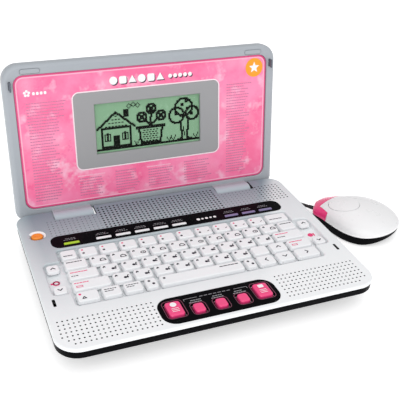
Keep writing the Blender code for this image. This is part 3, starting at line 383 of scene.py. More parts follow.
def frame_line(bm, x, y, z, radius, width, height=0.0001, material=0, steps=8):
    """A thin raised line along a rounded rectangle."""
    outer = ring(x, y, z, radius, 0.0, steps)
    inner = ring(x, y, z, radius, width, steps)
    lift = Vector((0, 0, height))
    rows = []
    for points in (outer, inner):
        rows.append([bm.verts.new(p) for p in points])
        rows.append([bm.verts.new(Vector(p) + lift) for p in points])
    low_out, high_out, low_in, high_in = rows
    count = len(outer)
    for k in range(count):
        n = (k + 1) % count
        for quad in (
            (low_out[k], low_out[n], high_out[n], high_out[k]),
            (high_out[k], high_out[n], high_in[n], high_in[k]),
            (high_in[k], high_in[n], low_in[n], low_in[k]),
            (low_in[k], low_in[n], low_out[n], low_out[k]),
        ):
            bm.faces.new(quad).material_index = material


def solid(name, bm, materials, place=BASE):
    mesh = bpy.data.meshes.new(name)
    bmesh.ops.recalc_face_normals(bm, faces=bm.faces)
    bm.to_mesh(mesh)
    bm.free()
    mesh.transform(place)
    for material in materials:
        mesh.materials.append(material)
    made = bpy.data.objects.new(name, mesh)
    scene.collection.objects.link(made)
    return made


def settle(obj):
    """Replaces the mesh by what its modifiers make of it."""
    bpy.context.view_layer.update()
    graph = bpy.context.evaluated_depsgraph_get()
    mesh = bpy.data.meshes.new_from_object(obj.evaluated_get(graph))
    old = obj.data
    obj.modifiers.clear()
    obj.data = mesh
    bpy.data.meshes.remove(old)


def carve(obj, bm, place=BASE, operation="DIFFERENCE", material=None):
    tool = solid("tool", bm, [material] if material else list(obj.data.materials), place)
    change = obj.modifiers.new("carve", "BOOLEAN")
    change.operation = operation
    change.object = tool
    change.solver = "MANIFOLD"
    change.material_mode = "TRANSFER"
    settle(obj)
    bpy.data.objects.remove(tool)


def done(obj, body, replaces=(), angle=34.0, weighted=True):
    obj.data.shade_smooth()
    obj.data.set_sharp_from_angle(angle=radians(angle))
    if weighted:
        change = obj.modifiers.new("normals", "WEIGHTED_NORMAL")
        change.keep_sharp = True
        settle(obj)
    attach(obj, body)
    if replaces:
        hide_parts(*replaces)
    return obj


def marks(name, bm, materials, body, place=BASE):
    """Print or other flat marks, with every edge sharp."""
    done(solid(name, bm, materials, place), body, angle=60, weighted=False)


# ---- camera
def look():
    """A long lens to the left of and above the laptop's front, rolled a little."""
    camera = bpy.data.objects.new("camera", bpy.data.cameras.new("camera"))
    scene.collection.objects.link(camera)
    azimuth, elevation, roll = -0.40686, 0.52451, 0.05211
    turn = Matrix.Rotation(azimuth, 4, "Z") @ Matrix.Rotation(pi / 2 - elevation, 4, "X")
    target = LAPTOP + Vector((0.0431, 0.0803, 0.028))
    place = target + turn @ Vector((0, 0, 0.7303))
    camera.matrix_world = Matrix.Translation(place) @ turn @ Matrix.Rotation(roll, 4, "Z")
    camera.data.sensor_width = 36.0
    camera.data.lens = 63.07
    camera.data.clip_start = 0.01
    scene.camera = camera


look()


# ---- cord
def smooth_route(guide, step):
    """Points about one step apart on a Catmull-Rom curve through the guide's points."""
    points = [Vector(p) for p in guide]
    points = [2 * points[0] - points[1], *points, 2 * points[-1] - points[-2]]
    route = []
    for a, b, c, d in zip(points, points[1:], points[2:], points[3:]):
        count = max(1, round((c - b).length / step))
        for k in range(count):
            t = k / count
            square, cube = 2 * a - 5 * b + 4 * c - d, 3 * b - a - 3 * c + d
            route.append(0.5 * (2 * b + (c - a) * t + square * t**2 + cube * t**3))
    route.append(points[-2])
    return route


def tube(bm, route, radius):
    """A round tube along the route, its section carried without twist."""
    tangents = [(b - a).normalized() for a, b in zip(route, route[1:])]
    tangents = [tangents[0], *[(a + b).normalized() for a, b in zip(tangents, tangents[1:])], tangents[-1]]
    side = tangents[0].orthogonal().normalized()
    rings = []
    for point, ahead in zip(route, tangents):
        side = (side - ahead * side.dot(ahead)).normalized()
        other = ahead.cross(side)
        turns = [2 * pi * k / 12 for k in range(12)]
        rings.append([point + radius * (cos(a) * side + sin(a) * other) for a in turns])
    loft(bm, rings)


def cord():
    nose = Vector((cos(MOUSE_TURN), sin(MOUSE_TURN), 0))
    end = MOUSE_AT + Vector((0, 0, 0.0063)) + nose * (NOSE + 0.0076)
    guide = [*CORD_GUIDE, end + nose * 0.01 + Vector((0, 0.006, -0.002)), end]
    route = [LAPTOP + p for p in smooth_route(guide, 0.0022)]
    bm = bmesh.new()
    tube(bm, route, CORD_D / 2)
    made = solid("mouse_cord_jacket", bm, [CORD_BLACK], Matrix.Identity(4))
    made.data.shade_smooth()
    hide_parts("mouse_cord")
    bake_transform(made)


cord()


# ---- base
def key_rows():
    """Each row's keys as (left edge, right edge)."""
    rows = []
    for first, count in zip(FIRST_LETTER_X, LETTERS):
        edges = [-KEYS_EDGE, *[first + 0.019 * (k - 0.5) for k in range(count + 1)], KEYS_EDGE]
        rows.append(list(zip(edges, edges[1:])))
    rows.append(list(zip(BOTTOM_ROW, BOTTOM_ROW[1:])))
    return rows


def stem_x(left, right):
    middle = (left + right) / 2
    if right - left < 0.03:
        return [middle]
    reach = (right - left) / 2 - 0.01
    return [middle - reach, middle + reach]


def in_corner(x, y, margin):
    """Whether a hole would fall outside the rounded front corners."""
    cx, cy = HALF_W - 0.02, FRONT + 0.02
    dx, dy = abs(x) - cx, cy - y
    return dx > 0 and dy > 0 and hypot(dx, dy) > 0.02 - margin


def top_case():
    radii = (0.014, 0.014, 0.02, 0.02)
    bm = slab(
        (-HALF_W, HALF_W), (FRONT, REAR), (TOP - 0.003, TOP), radii, top=0.0016, bottom=0.0003, arc=5,
        steps=12,
    )
    case = solid("top_case_shell", bm, [WHITE, HOLE, DIMPLE])
    for x, y in (((-0.1195, 0.1195), (-0.0516, 0.0364)), ((-0.135, 0.135), (-0.0334, 0.0182))):
        carve(case, slab(x, y, (WELL_FLOOR - 0.0015, TOP - 0.002), 0.005), operation="UNION")
    for x, y, r in (
        ((-0.1173, 0.1173), (-0.0494, 0.0342), 0.0035), ((-0.1328, 0.1328), (-0.0312, 0.016), 0.005)
    ):
        levels = (
            (0.0008, WELL_FLOOR), (0.0002, WELL_FLOOR + 0.0003), (0.0, WELL_FLOOR + 0.001),
            (0.0, TOP - 0.0012),
        )
        levels += ((-0.0003, TOP - 0.0006), (-0.0009, TOP - 0.0002), (-0.0014, TOP + 0.0002))
        carve(case, levelled(x, y, r, 6, levels))
    bm = bmesh.new()
    soft_slab(bm, (-0.119, 0.119), span(STRIP_Y, 0.0206), (0.026, TOP + 0.01), 0.0085, steps=8)
    soft_slab(bm, *pad(PANEL_X, PANEL_Y, 0.1069, 0.0337), (0.026, TOP + 0.01), 0.0125, steps=10)
    carve(case, bm)
    bm = bmesh.new()
    for left, right in KNUCKLES:
        soft_slab(bm, (left - 0.0008, right + 0.0018), (0.0863, 0.12), (0.01, 0.04), 0.0004, steps=1)
    # the bays' walls take the hole colour, painted shade in the slits
    carve(case, bm, material=HOLE)
    dish = [
        (0.0, 0.018), (0.0, 0.0262), (-0.0004, 0.0268), (-0.0016, 0.0275), (-0.003, 0.028), (-0.0034, 0.0283)
    ]
    carve(case, levelled(*pad(*POWER, 0.012, 0.0105), 0.005, 6, dish))
    bm = bmesh.new()
    for row, y in zip(key_rows(), ROW_Y):
        for left, right in row:
            for x in stem_x(left, right):
                soft_slab(bm, *pad(x, y, 0.011, 0.008), (0.018, 0.0245), 0.001, steps=1)
    for spot in SIDE_KEYS:
        soft_slab(bm, *pad(*spot, 0.008, 0.008), (0.018, 0.0245), 0.001, steps=1)
    carve(case, bm)
    bm = bmesh.new()
    for hole in pink_holes() + strip_holes():
        soft_slab(bm, *pad(*hole), (0.02, 0.027), 0.0008, steps=1)
    carve(case, bm)
    bm = bmesh.new()
    for side in (-1, 1):
        soft_slab(bm, *pad(side * 0.134, -0.0405, 0.0026, 0.0096), (0.02, 0.04), 0.0006, steps=2)
    for start in (-0.1368, 0.056):
        for i in range(20):
            for j in range(7):
                x, y = start + PITCH * i, -0.065 - 0.00482 * j
                if not in_corner(x, y, 0.0062):
                    rod(bm, (x, y, TOP), 0.00082, 0.008, "Z", 8)
    for x, y in rear_holes(-0.063, 0.0615, 0.059, 0.0985):
        rod(bm, (x, y, TOP), 0.00112, 0.008, "Z", 8)
    for x, y in rear_holes(0.109, 0.1355, 0.059, 0.09):
        rod(bm, (x, y, TOP), 0.0009, 0.008, "Z", 8)
    # the holes' walls take the hole colour, painted shade inside them
    carve(case, bm, material=HOLE)
    bm = bmesh.new()
    for x, y in rear_holes(-0.118, -0.064, 0.059, 0.084) + rear_holes(0.064, 0.107, 0.059, 0.084):
        rod(bm, (x, y, TOP), 0.0007, 0.0006, "Z", 8)
    # the dimples take the dimple colour, painted shade in them
    carve(case, bm, material=DIMPLE)
    done(case, "base", ["top_case"])


def rear_holes(left, right, front, rear):
    """The part of the rear deck's square grid of holes that lies within the given edges."""
    columns = [0.1347 - PITCH * k for k in range(66)]
    rows = [0.0591 + PITCH * k for k in range(10)]
    return [(x, y) for x in columns for y in rows if left < x < right and front < y < rear]


def pink_holes():
    return [(PANEL_X + x, y, width + 0.001, depth + 0.001) for x, y, width, depth in PINK_KEYS]


def strip_holes():
    return [(x, STRIP_KEY_Y, 0.0154, 0.0044) for columns in STRIP_KEYS.values() for x in columns]


def bottom_case():
    """The black tub: a short upright wall, then a belly that slopes in to a flat floor."""
    radii = (0.0135, 0.0135, 0.0195, 0.0195)
    w, f, r = HALF_W - 0.0005, FRONT + 0.0005, REAR - 0.0005
    inner = [
        (0.0275, 0.0098, 0.0042), (0.0056, 0.004, 0.0165), (0.0022, 0.0022, 0.0195), (0.0022, 0.0022, 0.0247)
    ]
    outer = [(0.0, 0.0, 0.0247), (0.0, 0.0, 0.019), (0.0005, 0.0004, 0.0181), (0.0018, 0.0008, 0.0172)]
    outer += [
        (0.015, 0.004, 0.0083), (0.0225, 0.0056, 0.0032), (0.024, 0.006, 0.0022), (0.025, 0.0066, 0.002)
    ]
    rings = []
    for inset, rear_inset, z in inner + outer:
        corner = tuple(max(0.003, q - inset * 0.5) for q in radii)
        rings.append(ring((-w + inset, w - inset), (f + inset, r - rear_inset), z, corner, 0.0, 12))
    case = solid("bottom_case_shell", lofted(rings), [BLACK])
    bm = bmesh.new()
    for node in sorted(frame["nodes"]):
        if node.startswith("case_screw"):
            low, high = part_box(node)
            rod(bm, ((low.x + high.x) / 2, (low.y + high.y) / 2, 0.006), 0.0032, 0.012, "Z", 20)
    carve(case, bm, Matrix.Identity(4))
    bm = bmesh.new()
    for side in (-1, 1):
        bay = sorted((side * 0.0618, side * 0.1116))
        soft_slab(bm, bay, (0.0863, 0.12), (0.0083, 0.04), 0.0004, steps=1)
    soft_slab(bm, (-0.116, -0.0605), (0.0312, 0.0778), (0.0, 0.0048), 0.003, steps=4)
    carve(case, bm)
    bm = bmesh.new()
    rod(bm, (0, 0, 0), 0.0025, 0.01)
    carve(case, bm, BASE @ GLAND)
    done(case, "base", ["bottom_case"], angle=30)


def strip_and_panel():
    bm = slab(
        (-0.1187, 0.1187), span(STRIP_Y, 0.02), (0.0263, TOP + 0.0003), 0.0082, top=0.0003, arc=3, steps=8
    )
    strip = solid("control_strip_inlay", bm, [GLOSS_BLACK])
    bm = bmesh.new()
    for hole in strip_holes():
        soft_slab(bm, *pad(*hole), (0.024, 0.032), 0.0006, steps=2)
    carve(strip, bm)
    done(strip, "base", ["control_strip"])
    bm = bmesh.new()
    z = TOP + 0.0003
    for columns in STRIP_KEYS.values():
        for x in columns:
            dashes(bm, x - 0.0045, 0.05, 0.0085, z, 0, 0.0006)
            dashes(bm, x - 0.0062, 0.0479, 0.0115, z, 0, 0.0006)
    for k, size in enumerate((0.0019, 0.0013, 0.0016, 0.0013, 0.0016)):
        disc(bm, 0.027 + 0.0044 * k, 0.0446, size, z, material=1)
    marks("strip_labels", bm, [GREY_INK, WHITE_PRINT_AND_HIGHLIGHT], "base")

    bm = slab(
        *pad(PANEL_X, PANEL_Y, 0.1063, 0.0331), (0.0263, TOP + 0.0004), 0.0122, top=0.0004, arc=3, steps=10
    )
    panel = solid("front_panel_inlay", bm, [GLOSS_BLACK])
    bm = bmesh.new()
    for hole in pink_holes():
        levels = ((0.0, 0.024), (0.0, 0.0277), (-0.0012, 0.0287))
        loft(bm, [ring(*pad(*hole), z, 0.0024, inset, 5) for inset, z in levels])
    carve(panel, bm)
    done(panel, "base", ["front_panel"])
    bm = bmesh.new()
    z = TOP + 0.0004
    for x in (-0.02, 0.0, 0.02):
        dashes(bm, PANEL_X + x - 0.0038, -0.0736, 0.0075, z, 0, 0.0009)
        dashes(bm, PANEL_X + x - 0.0056, -0.076, 0.011, z, 0, 0.0009)
    left, right, rail = PANEL_X - 0.029, PANEL_X + 0.029, -0.0702
    stroke(bm, [(left, rail - 0.0022), (left, rail), (left + 0.012, rail)], 0.0004, z)
    stroke(bm, [(right - 0.012, rail), (right, rail), (right, rail - 0.0022)], 0.0004, z)
    for k in range(7):
        x = PANEL_X - 0.0145 + 0.0042 * k
        stroke(bm, [(x, rail), (x + 0.0027, rail)], 0.0006, z)
    for x, y, width, depth in PINK_KEYS:
        # a dark pinkish line around each pink key's recess: painted shade for the gap
        frame_line(bm, *pad(PANEL_X + x, y, width + 0.004, depth + 0.004), z, 0.0042, 0.0006, 0.0001, 1)
    marks("panel_labels", bm, [GREY_INK, KEY_GAP_SHADE], "base")


def cap(bm, left, right, y):
    """One key's cap: its sides lean in a little and its top edge is rolled."""
    x = (left + CAP_INSET, right - CAP_INSET)
    z = (0.0248, CAP_TOP)
    soft_slab(bm, x, span(y, 0.0144), z, 0.003, top=0.0009, bottom=0.0003, lean=0.0008, steps=5)


def legends(bm, row, index, last, left, right, y):
    """Small marks that no one can read, in place of the legends."""
    z = CAP_TOP
    x = left + 0.0046
    upper, lower = y + 0.0027, y - 0.0024
    px, py = right - 0.0062, y - 0.0014
    middle = (left + right) / 2

    def line(width, *points):
        stroke(bm, points, width, z)

    arrows = {(3, last - 1): 0.0, (4, last - 2): pi / 2, (4, last - 1): pi, (4, last): -pi / 2}
    if (row, index) in arrows:
        chevron(bm, middle, y, 0.0021, z, arrows[row, index])
    elif row == 4 and index == SPACE:
        disc(bm, x + 0.001, upper - 0.0003, 0.0012, z)
        dashes(bm, right - 0.023, upper, 0.0165, z, 0, 0.00105)
    elif row == 4 and index in (3, SPACE + 1):
        disc(bm, middle - 0.0016, upper - 0.0003, 0.0012, z)
        disc(bm, middle + 0.0014, lower + 0.0005, 0.0013, z)
    elif row == 4 and index == 0:
        disc(bm, x, upper, 0.0012, z, material=1)
        line(
            0.0009, (x + 0.0014, lower - 0.0006), (x + 0.0028, lower + 0.0014), (x + 0.0042, lower - 0.0006)
        )
        line(0.0008, (x + 0.0012, lower - 0.001), (x + 0.0044, lower - 0.001))
    elif row == 4 and index < last and right - left > 0.0185:
        dashes(bm, x - 0.0008, upper, 0.0095, z)
        dashes(bm, x - 0.0008, upper - 0.0026, 0.0065, z)
    elif index in (0, last):
        pink = 1 if row in (2, 3) else 0
        height = upper if row else lower
        dashes(bm, x - 0.0008, height, min(0.0125, right - left - 0.0085), z, pink, 0.00105)
        if row == 2:
            dashes(bm, x - 0.0008, lower, 0.0065, z)
        elif row == 3:
            bag = [
                (x, lower - 0.0008), (x + 0.0052, lower - 0.0008), (x + 0.0052, lower + 0.001),
                (x, lower + 0.001),
            ]
            stroke(bm, [*bag, bag[0]], 0.0006, z, material=1)
    elif row == 0:
        disc(bm, x, upper, 0.001, z, material=1)
        disc(bm, x + 0.0002, lower, 0.0012, z)
        if index > 6:
            line(0.0008, (px, lower), (px + 0.0016, lower + 0.0008))
    elif row != 3 or index < last - 2:
        line(0.0012, (x - 0.0008, upper - 0.0008), (x + 0.0001, upper + 0.0008))
        line(0.001, (x + 0.0004, upper + 0.0006), (x + 0.0009, upper - 0.0006))
        if row == 1 and index % 3:
            line(0.0009, (px - 0.0026, py - 0.0012), (px - 0.002, py + 0.0012), (px, py + 0.002))
            line(0.0009, (px, py + 0.002), (px + 0.0018, py + 0.001), (px + 0.0026, py - 0.0012))
            line(0.0008, (px - 0.0026, py - 0.0014), (px + 0.0026, py - 0.0014))
        elif row == 1:
            turns = [pi * k / 4 for k in range(9)]
            stroke(bm, [(px + 0.0024 * cos(a), py + 0.0017 * sin(a)) for a in turns], 0.0008, z)
            disc(bm, px + 0.0002, py, 0.0006, z, count=8)
        else:
            disc(bm, px - 0.001, py - 0.0003, 0.0015, z, count=10)
            disc(bm, px + 0.0011, py - 0.0006, 0.001, z, count=10)
            line(0.0008, (px + 0.0007, py), (px + 0.0016, py + 0.0024), (px + 0.0026, py + 0.0018))


def dashes(bm, left, y, reach, z, material=0, thick=0.0009):
    """A line of short bars of uneven length, like words too small to read."""
    at = 0.0
    while at < reach:
        width = luck.uniform(0.001, 0.0032) if thick > 0.001 else luck.uniform(0.0009, 0.0019)
        stroke(bm, [(left + at, y), (left + at + width, y)], thick, z, material=material)
        at += width + 0.001


def chevron(bm, x, y, size, z, turn=0.0):
    arms = [(-size, -size * 0.5), (0, size * 0.5), (size, -size * 0.5)]
    c, s = cos(turn), sin(turn)
    stroke(bm, [(x + c * u - s * v, y + s * u + c * v) for u, v in arms], 0.001, z)


def keyboard():
    for number, (cells, y) in enumerate(zip(key_rows(), ROW_Y)):
        groups = {f"key_row_{number + 1}": range(len(cells))}
        if number == 4:
            groups = {
                "key_row_5_left": range(SPACE),
                "space_bar": [SPACE],
                "key_row_5_right": range(SPACE + 1, len(cells)),
            }
        for node, members in groups.items():
            bm = bmesh.new()
            ink = bmesh.new()
            for index in members:
                left, right = cells[index]
                cap(bm, left, right, y)
                for x in stem_x(left, right):
                    soft_slab(bm, *pad(x, y, 0.01, 0.007), (0.019, 0.0252), 0.0006, steps=1)
                legends(ink, number, index, len(cells) - 1, left, right, y)
            done(solid(f"{node}_caps", bm, [KEY_WHITE]), node, [node])
            marks(f"{node}_legends", ink, [INK, PINK_INK], node)


def side_keys():
    names = ("volume_up_key", "volume_down_key", "contrast_up_key", "contrast_down_key")
    for name, (x, y) in zip(names, SIDE_KEYS):
        bm = bmesh.new()
        soft_slab(
            bm, *pad(x, y, 0.0115, 0.0115), (0.0248, TOP - 0.0004), 0.003, top=0.001, bottom=0.0003,
            lean=0.0004, steps=6,
        )
        soft_slab(bm, *pad(x, y, 0.0066, 0.0066), (0.019, 0.0252), 0.0006, steps=1)
        done(solid(f"{name}_cap", bm, [KEY_WHITE]), name, [name])
        bm = bmesh.new()
        chevron(bm, x, y, 0.0019, TOP - 0.0004, 0.0 if name.endswith("up_key") else pi)
        marks(f"{name}_mark", bm, [INK], name)
    bm = bmesh.new()
    z = WELL_FLOOR
    x, y = -SIDE_KEY_X - 0.0005, -0.0085
    points = [(x + 0.0025 * cos(a), y + 0.0024 * sin(a)) for a in [pi * k / 8 for k in range(17)]]
    stroke(bm, points, 0.0011, z, 0.0006)
    stroke(bm, [(x - 0.0044, y), (x - 0.003, y)], 0.0014, z, 0.0006)
    x = SIDE_KEY_X
    disc(bm, x - 0.0004, y, 0.0026, z, 0.0006, 20)
    stroke(bm, [(x + 0.0034, y + 0.0018), (x + 0.0034, y - 0.0018)], 0.0008, z, 0.0006)
    marks("side_icons", bm, [PINK_INK], "base")


def strip_keys():
    looks = ((GREEN, "green_key"), (KEY_WHITE, "key_white"), (LAVENDER, "lavender_key"))
    for (name, columns), (colour, slot) in zip(STRIP_KEYS.items(), looks):
        bm = bmesh.new()
        for x in columns:
            soft_slab(
                bm, *pad(x, STRIP_KEY_Y, 0.0146, 0.0032), (0.022, TOP + 0.0007), 0.0009, top=0.0005, arc=3,
                steps=4,
            )
        done(solid(f"{name}_bars", bm, [colour]), name, [name])


def pink_keys():
    for number, (x, y, width, depth) in enumerate(PINK_KEYS, 1):
        node = f"pink_key_{number}"
        bm = slab(*pad(PANEL_X + x, y, width, depth), (0.0219, 0.0299), 0.0032, top=0.0012, lean=0.0006)
        done(solid(f"{node}_cap", bm, [PINK]), node, [node])
        if depth < 0.015:
            continue
        bm = bmesh.new()
        z = 0.0299
        cx = PANEL_X + x
        if number == 1:
            disc(bm, cx, y + 0.0044, 0.0028, z, count=20)
        else:
            soft_slab(bm, *pad(cx, y + 0.0044, 0.005, 0.004), (z, z + 0.00008), 0.0008, steps=3)
        for k in range(3):
            low = y - 0.0004 - 0.0019 * k
            stroke(bm, [(cx - 0.003, low), (cx + 0.003, low)], 0.0005, z)
        marks(f"{node}_icon", bm, [WHITE_PRINT_AND_HIGHLIGHT], node)


def power_button():
    x, y = pad(*POWER, 0.011, 0.0095)
    levels = [
        (0.0, 0.0219), (0.0, 0.0273), (0.0004, 0.0279), (0.0011, 0.0283), (0.0018, 0.0283), (0.0026, 0.0281)
    ]
    levels += [(0.0036, 0.0279)]
    bm = levelled(x, y, 0.0046, 8, levels)
    done(solid("power_button_cap", bm, [ORANGE]), "power_button", ["power_button"])
    # a white ring round the rear and right of the dish: a painted highlight on the dish's rim
    corners = (
        (0.0062, 0.0055, 0.0262), (0.0082, 0.0078, 0.0262), (0.0082, 0.0078, 0.028), (0.0062, 0.0055, 0.0269)
    )
    sections = []
    for k in range(17):
        c, s = cos(pi * (k - 3) / 16), sin(pi * (k - 3) / 16)
        sections.append([(POWER[0] + wide * c, POWER[1] + deep * s, z) for wide, deep, z in corners])
    done(solid("power_button_rim_highlight", lofted(sections), [WHITE_PRINT_AND_HIGHLIGHT]), "base")


# ---- lid
LID_X = (-0.14, 0.14)
LID_Y = (0.0036, 0.1564)
LID_R = (0.016, 0.016, 0.006, 0.006)
SHEET_TOP = -0.011
PRINT_TOP = SHEET_TOP + 0.00013
OPENING = ((-0.076, 0.076), (0.047, 0.1247), (-0.02, 0.0))
DISPLAY_Y = (0.0608, 0.1119)


def lid_frame():
    bm = slab(LID_X, LID_Y, (-0.0169, -0.0094), LID_R, top=0.0044, arc=7, steps=12)
    front = solid("lid_front_moulding", bm, [LID_GREY], LID)
    bm = bmesh.new()
    for left, right in KNUCKLES:
        soft_slab(bm, (left + 0.0004, right - 0.0004), (0.001, 0.0098), (-0.013, -0.003), 0.0004, steps=1)
    carve(front, bm, LID, "UNION")
    levels = ((0.0, -0.0128), (0.0, -0.0099), (-0.0005, -0.0093), (-0.0005, 0.0))
    carve(front, levelled((-0.1304, 0.1304), (0.0127, 0.1466), 0.0095, 8, levels), LID)
    bm = bmesh.new()
    soft_slab(bm, (-0.126, 0.126), (0.017, 0.142), (-0.03, -0.01), 0.006, steps=4)
    for side in (-1, 1):
        soft_slab(bm, *pad(side * 0.1336, 0.1375, 0.0022, 0.0082), (-0.015, 0.0), 0.0004, steps=1)
        soft_slab(bm, *pad(side * 0.114, 0.15, 0.019, 0.005), (-0.0106, 0.0), 0.0024, steps=6)
    carve(front, bm, LID)
    done(front, "lid", ["lid_front_frame"])
    for name, (left, right) in zip(("left", "right"), KNUCKLES):
        rings = [(left, 0.0092), (left + 0.0004, 0.0097), (left + 0.0012, 0.01)]
        rings += [(right - 0.0012, 0.01), (right - 0.0004, 0.0097), (right, 0.0092)]
        turns = [2 * pi * k / 40 for k in range(40)]
        bm = lofted([[(x, r * cos(a), r * sin(a)) for a in turns] for x, r in rings])
        done(solid(f"hinge_knuckle_{name}", bm, [KNUCKLE_GREY], LID), "lid")


def lid_back():
    turns = [pi / 2 * k / 7 for k in range(8)]
    outer = [(0.0055 * (1 - sin(a)), -0.0264 + 0.0055 * (1 - cos(a))) for a in turns]
    outer += [(0.0, -0.0172), (0.0022, -0.0172), (0.0022, -0.02), (0.006, -0.0242)]
    shell = solid("lid_back_moulding", levelled(LID_X, LID_Y, LID_R, 12, outer), [LID_GREY], LID)
    bm = bmesh.new()
    frame_line(bm, (-0.118, 0.118), (0.028, 0.136), -0.0268, 0.014, 0.0016, 0.001, steps=10)
    carve(shell, bm, LID)
    done(shell, "lid", ["lid_back_shell"])


def face():
    bm = slab((-0.1301, 0.1301), (0.013, 0.1463), (-0.0125, -0.011), 0.0092, top=0.0003, arc=3, steps=8)
    plate = solid("faceplate_sheet", bm, [PINK_EDGE], LID)
    carve(plate, slab(*OPENING, 0.006), LID)
    done(plate, "lid", ["faceplate"])
    z = SHEET_TOP
    x, y = (-0.1284, 0.1284), (0.0147, 0.1446)
    sheet = solid("faceplate_print", slab(x, y, (z, z + 0.00012), 0.0078, steps=8), [PINK_PRINT], LID)
    carve(sheet, slab(*OPENING, 0.006), LID)
    done(sheet, "lid")
    bm = bmesh.new()
    frame_line(bm, x, y, z + 0.0001, 0.0078, 0.0012, 0.00012, steps=8)
    marks("faceplate_border", bm, [PINK_LINE], "lid", LID)
    bm = bmesh.new()
    frame_line(bm, (-0.077, 0.077), (0.046, 0.1257), z + 0.0001, 0.007, 0.0012, 0.00012, steps=8)
    marks("screen_outline", bm, [WHITE_LINE], "lid", LID)


def word_lists():
    """Columns of short bars in place of the printed lists."""
    z = PRINT_TOP
    bm = bmesh.new()
    columns = [
        (-0.12, 0.119, 8, 0.036), (-0.1195, 0.096, 27, 0.028), (-0.075, 0.0402, 8, 0.028),
        (-0.0375, 0.0402, 8, 0.025), (-0.0025, 0.0402, 8, 0.026), (0.037, 0.0402, 8, 0.03),
        (0.0855, 0.118, 20, 0.027), (0.0855, 0.06, 14, 0.025),
    ]
    for number, (left, top, lines, reach) in enumerate(columns):
        for line in range(lines):
            if line == 0 and number in (2, 4):
                dashes(bm, left - 0.0015, top + 0.0002, reach, z, 1, 0.0012)
            else:
                dashes(bm, left, top - 0.0029 * line, reach * luck.uniform(0.7, 1.0), z, 0, 0.001)
    marks("faceplate_lists", bm, [TEXT_INK, PINK_LINE], "lid", LID)


def title():
    """A row of plain shapes where the toy's name would be, and a small flower in the corner."""
    z = PRINT_TOP
    shade = bmesh.new()
    bright = bmesh.new()
    for bm, dx, dy, lift in ((shade, 0.0009, -0.001, 0.0), (bright, 0.0, 0.0, 0.0001)):
        for k in range(6):
            x = -0.035 + 0.0096 * k + dx
            y = 0.1336 + dy
            if k % 3 == 0:
                disc(bm, x, y, 0.004, z + lift, 0.0001, 20)
            elif k % 3 == 1:
                soft_slab(bm, *pad(x, y, 0.0074, 0.0074), (z + lift, z + lift + 0.0001), 0.0016, steps=3)
            else:
                turns = [2 * pi * i / 3 for i in range(3)]
                points = [(x - 0.0047 * sin(a), y - 0.0008 + 0.0047 * cos(a)) for a in turns]
                loft(bm, prism(points, z + lift, z + lift + 0.0001))
        for k in range(5):
            disc(bm, 0.0235 + 0.0053 * k + dx, 0.1332 + dy, 0.0021, z + lift, 0.0001, 12)
    for k in range(5):
        turn = 2 * pi * k / 5
        disc(bright, -0.1185 + 0.0022 * sin(turn), 0.129 + 0.0022 * cos(turn), 0.0013, z, 0.0001, 10)
    for k in range(4):
        soft_slab(
            bright, *pad(-0.1122 + 0.0036 * k, 0.1284, 0.0025, 0.003), (z, z + 0.0001), 0.0009, steps=2
        )
    marks("title_shade", shade, [INK], "lid", LID)
    marks("title_shapes", bright, [WHITE_PRINT_AND_HIGHLIGHT], "lid", LID)


def badge():
    z = PRINT_TOP
    x, y = 0.1165, 0.1335
    bm = bmesh.new()
    disc(bm, x, y, 0.0098, z, 0.00015, 40)
    marks("badge_disc", bm, [ORANGE_PRINT], "lid", LID)
    rim = []
    for k, reach in enumerate((0.006, 0.0027) * 5):
        rim.append((x - reach * sin(pi * k / 5), y + reach * cos(pi * k / 5)))
    z += 0.00015
    bm = lofted(prism(rim, z, z + 0.0001))
    marks("badge_star", bm, [WHITE_PRINT_AND_HIGHLIGHT], "lid", LID)


def screen():
    bm = slab((-0.0757, 0.0757), (0.0473, 0.1244), (-0.0135, -0.0106), 0.0057, top=0.0004, arc=3, steps=6)
    bezel = solid("screen_bezel_frame", bm, [BEZEL], LID)
    levels = ((0.0, -0.02), (0.0, -0.0111), (-0.0006, -0.0105), (-0.0006, 0.0))
    carve(bezel, levelled((-0.0555, 0.0555), DISPLAY_Y, 0.0004, 1, levels), LID)
    done(bezel, "lid", ["screen_bezel"])
    bm = slab((-0.061, 0.061), (0.055, 0.118), (-0.017, -0.0138), 0.0006, steps=1)
    made = solid("display_cell", bm, [LCD_GREEN], LID)
    done(made, "lid", ["lcd_module"])
    picture()


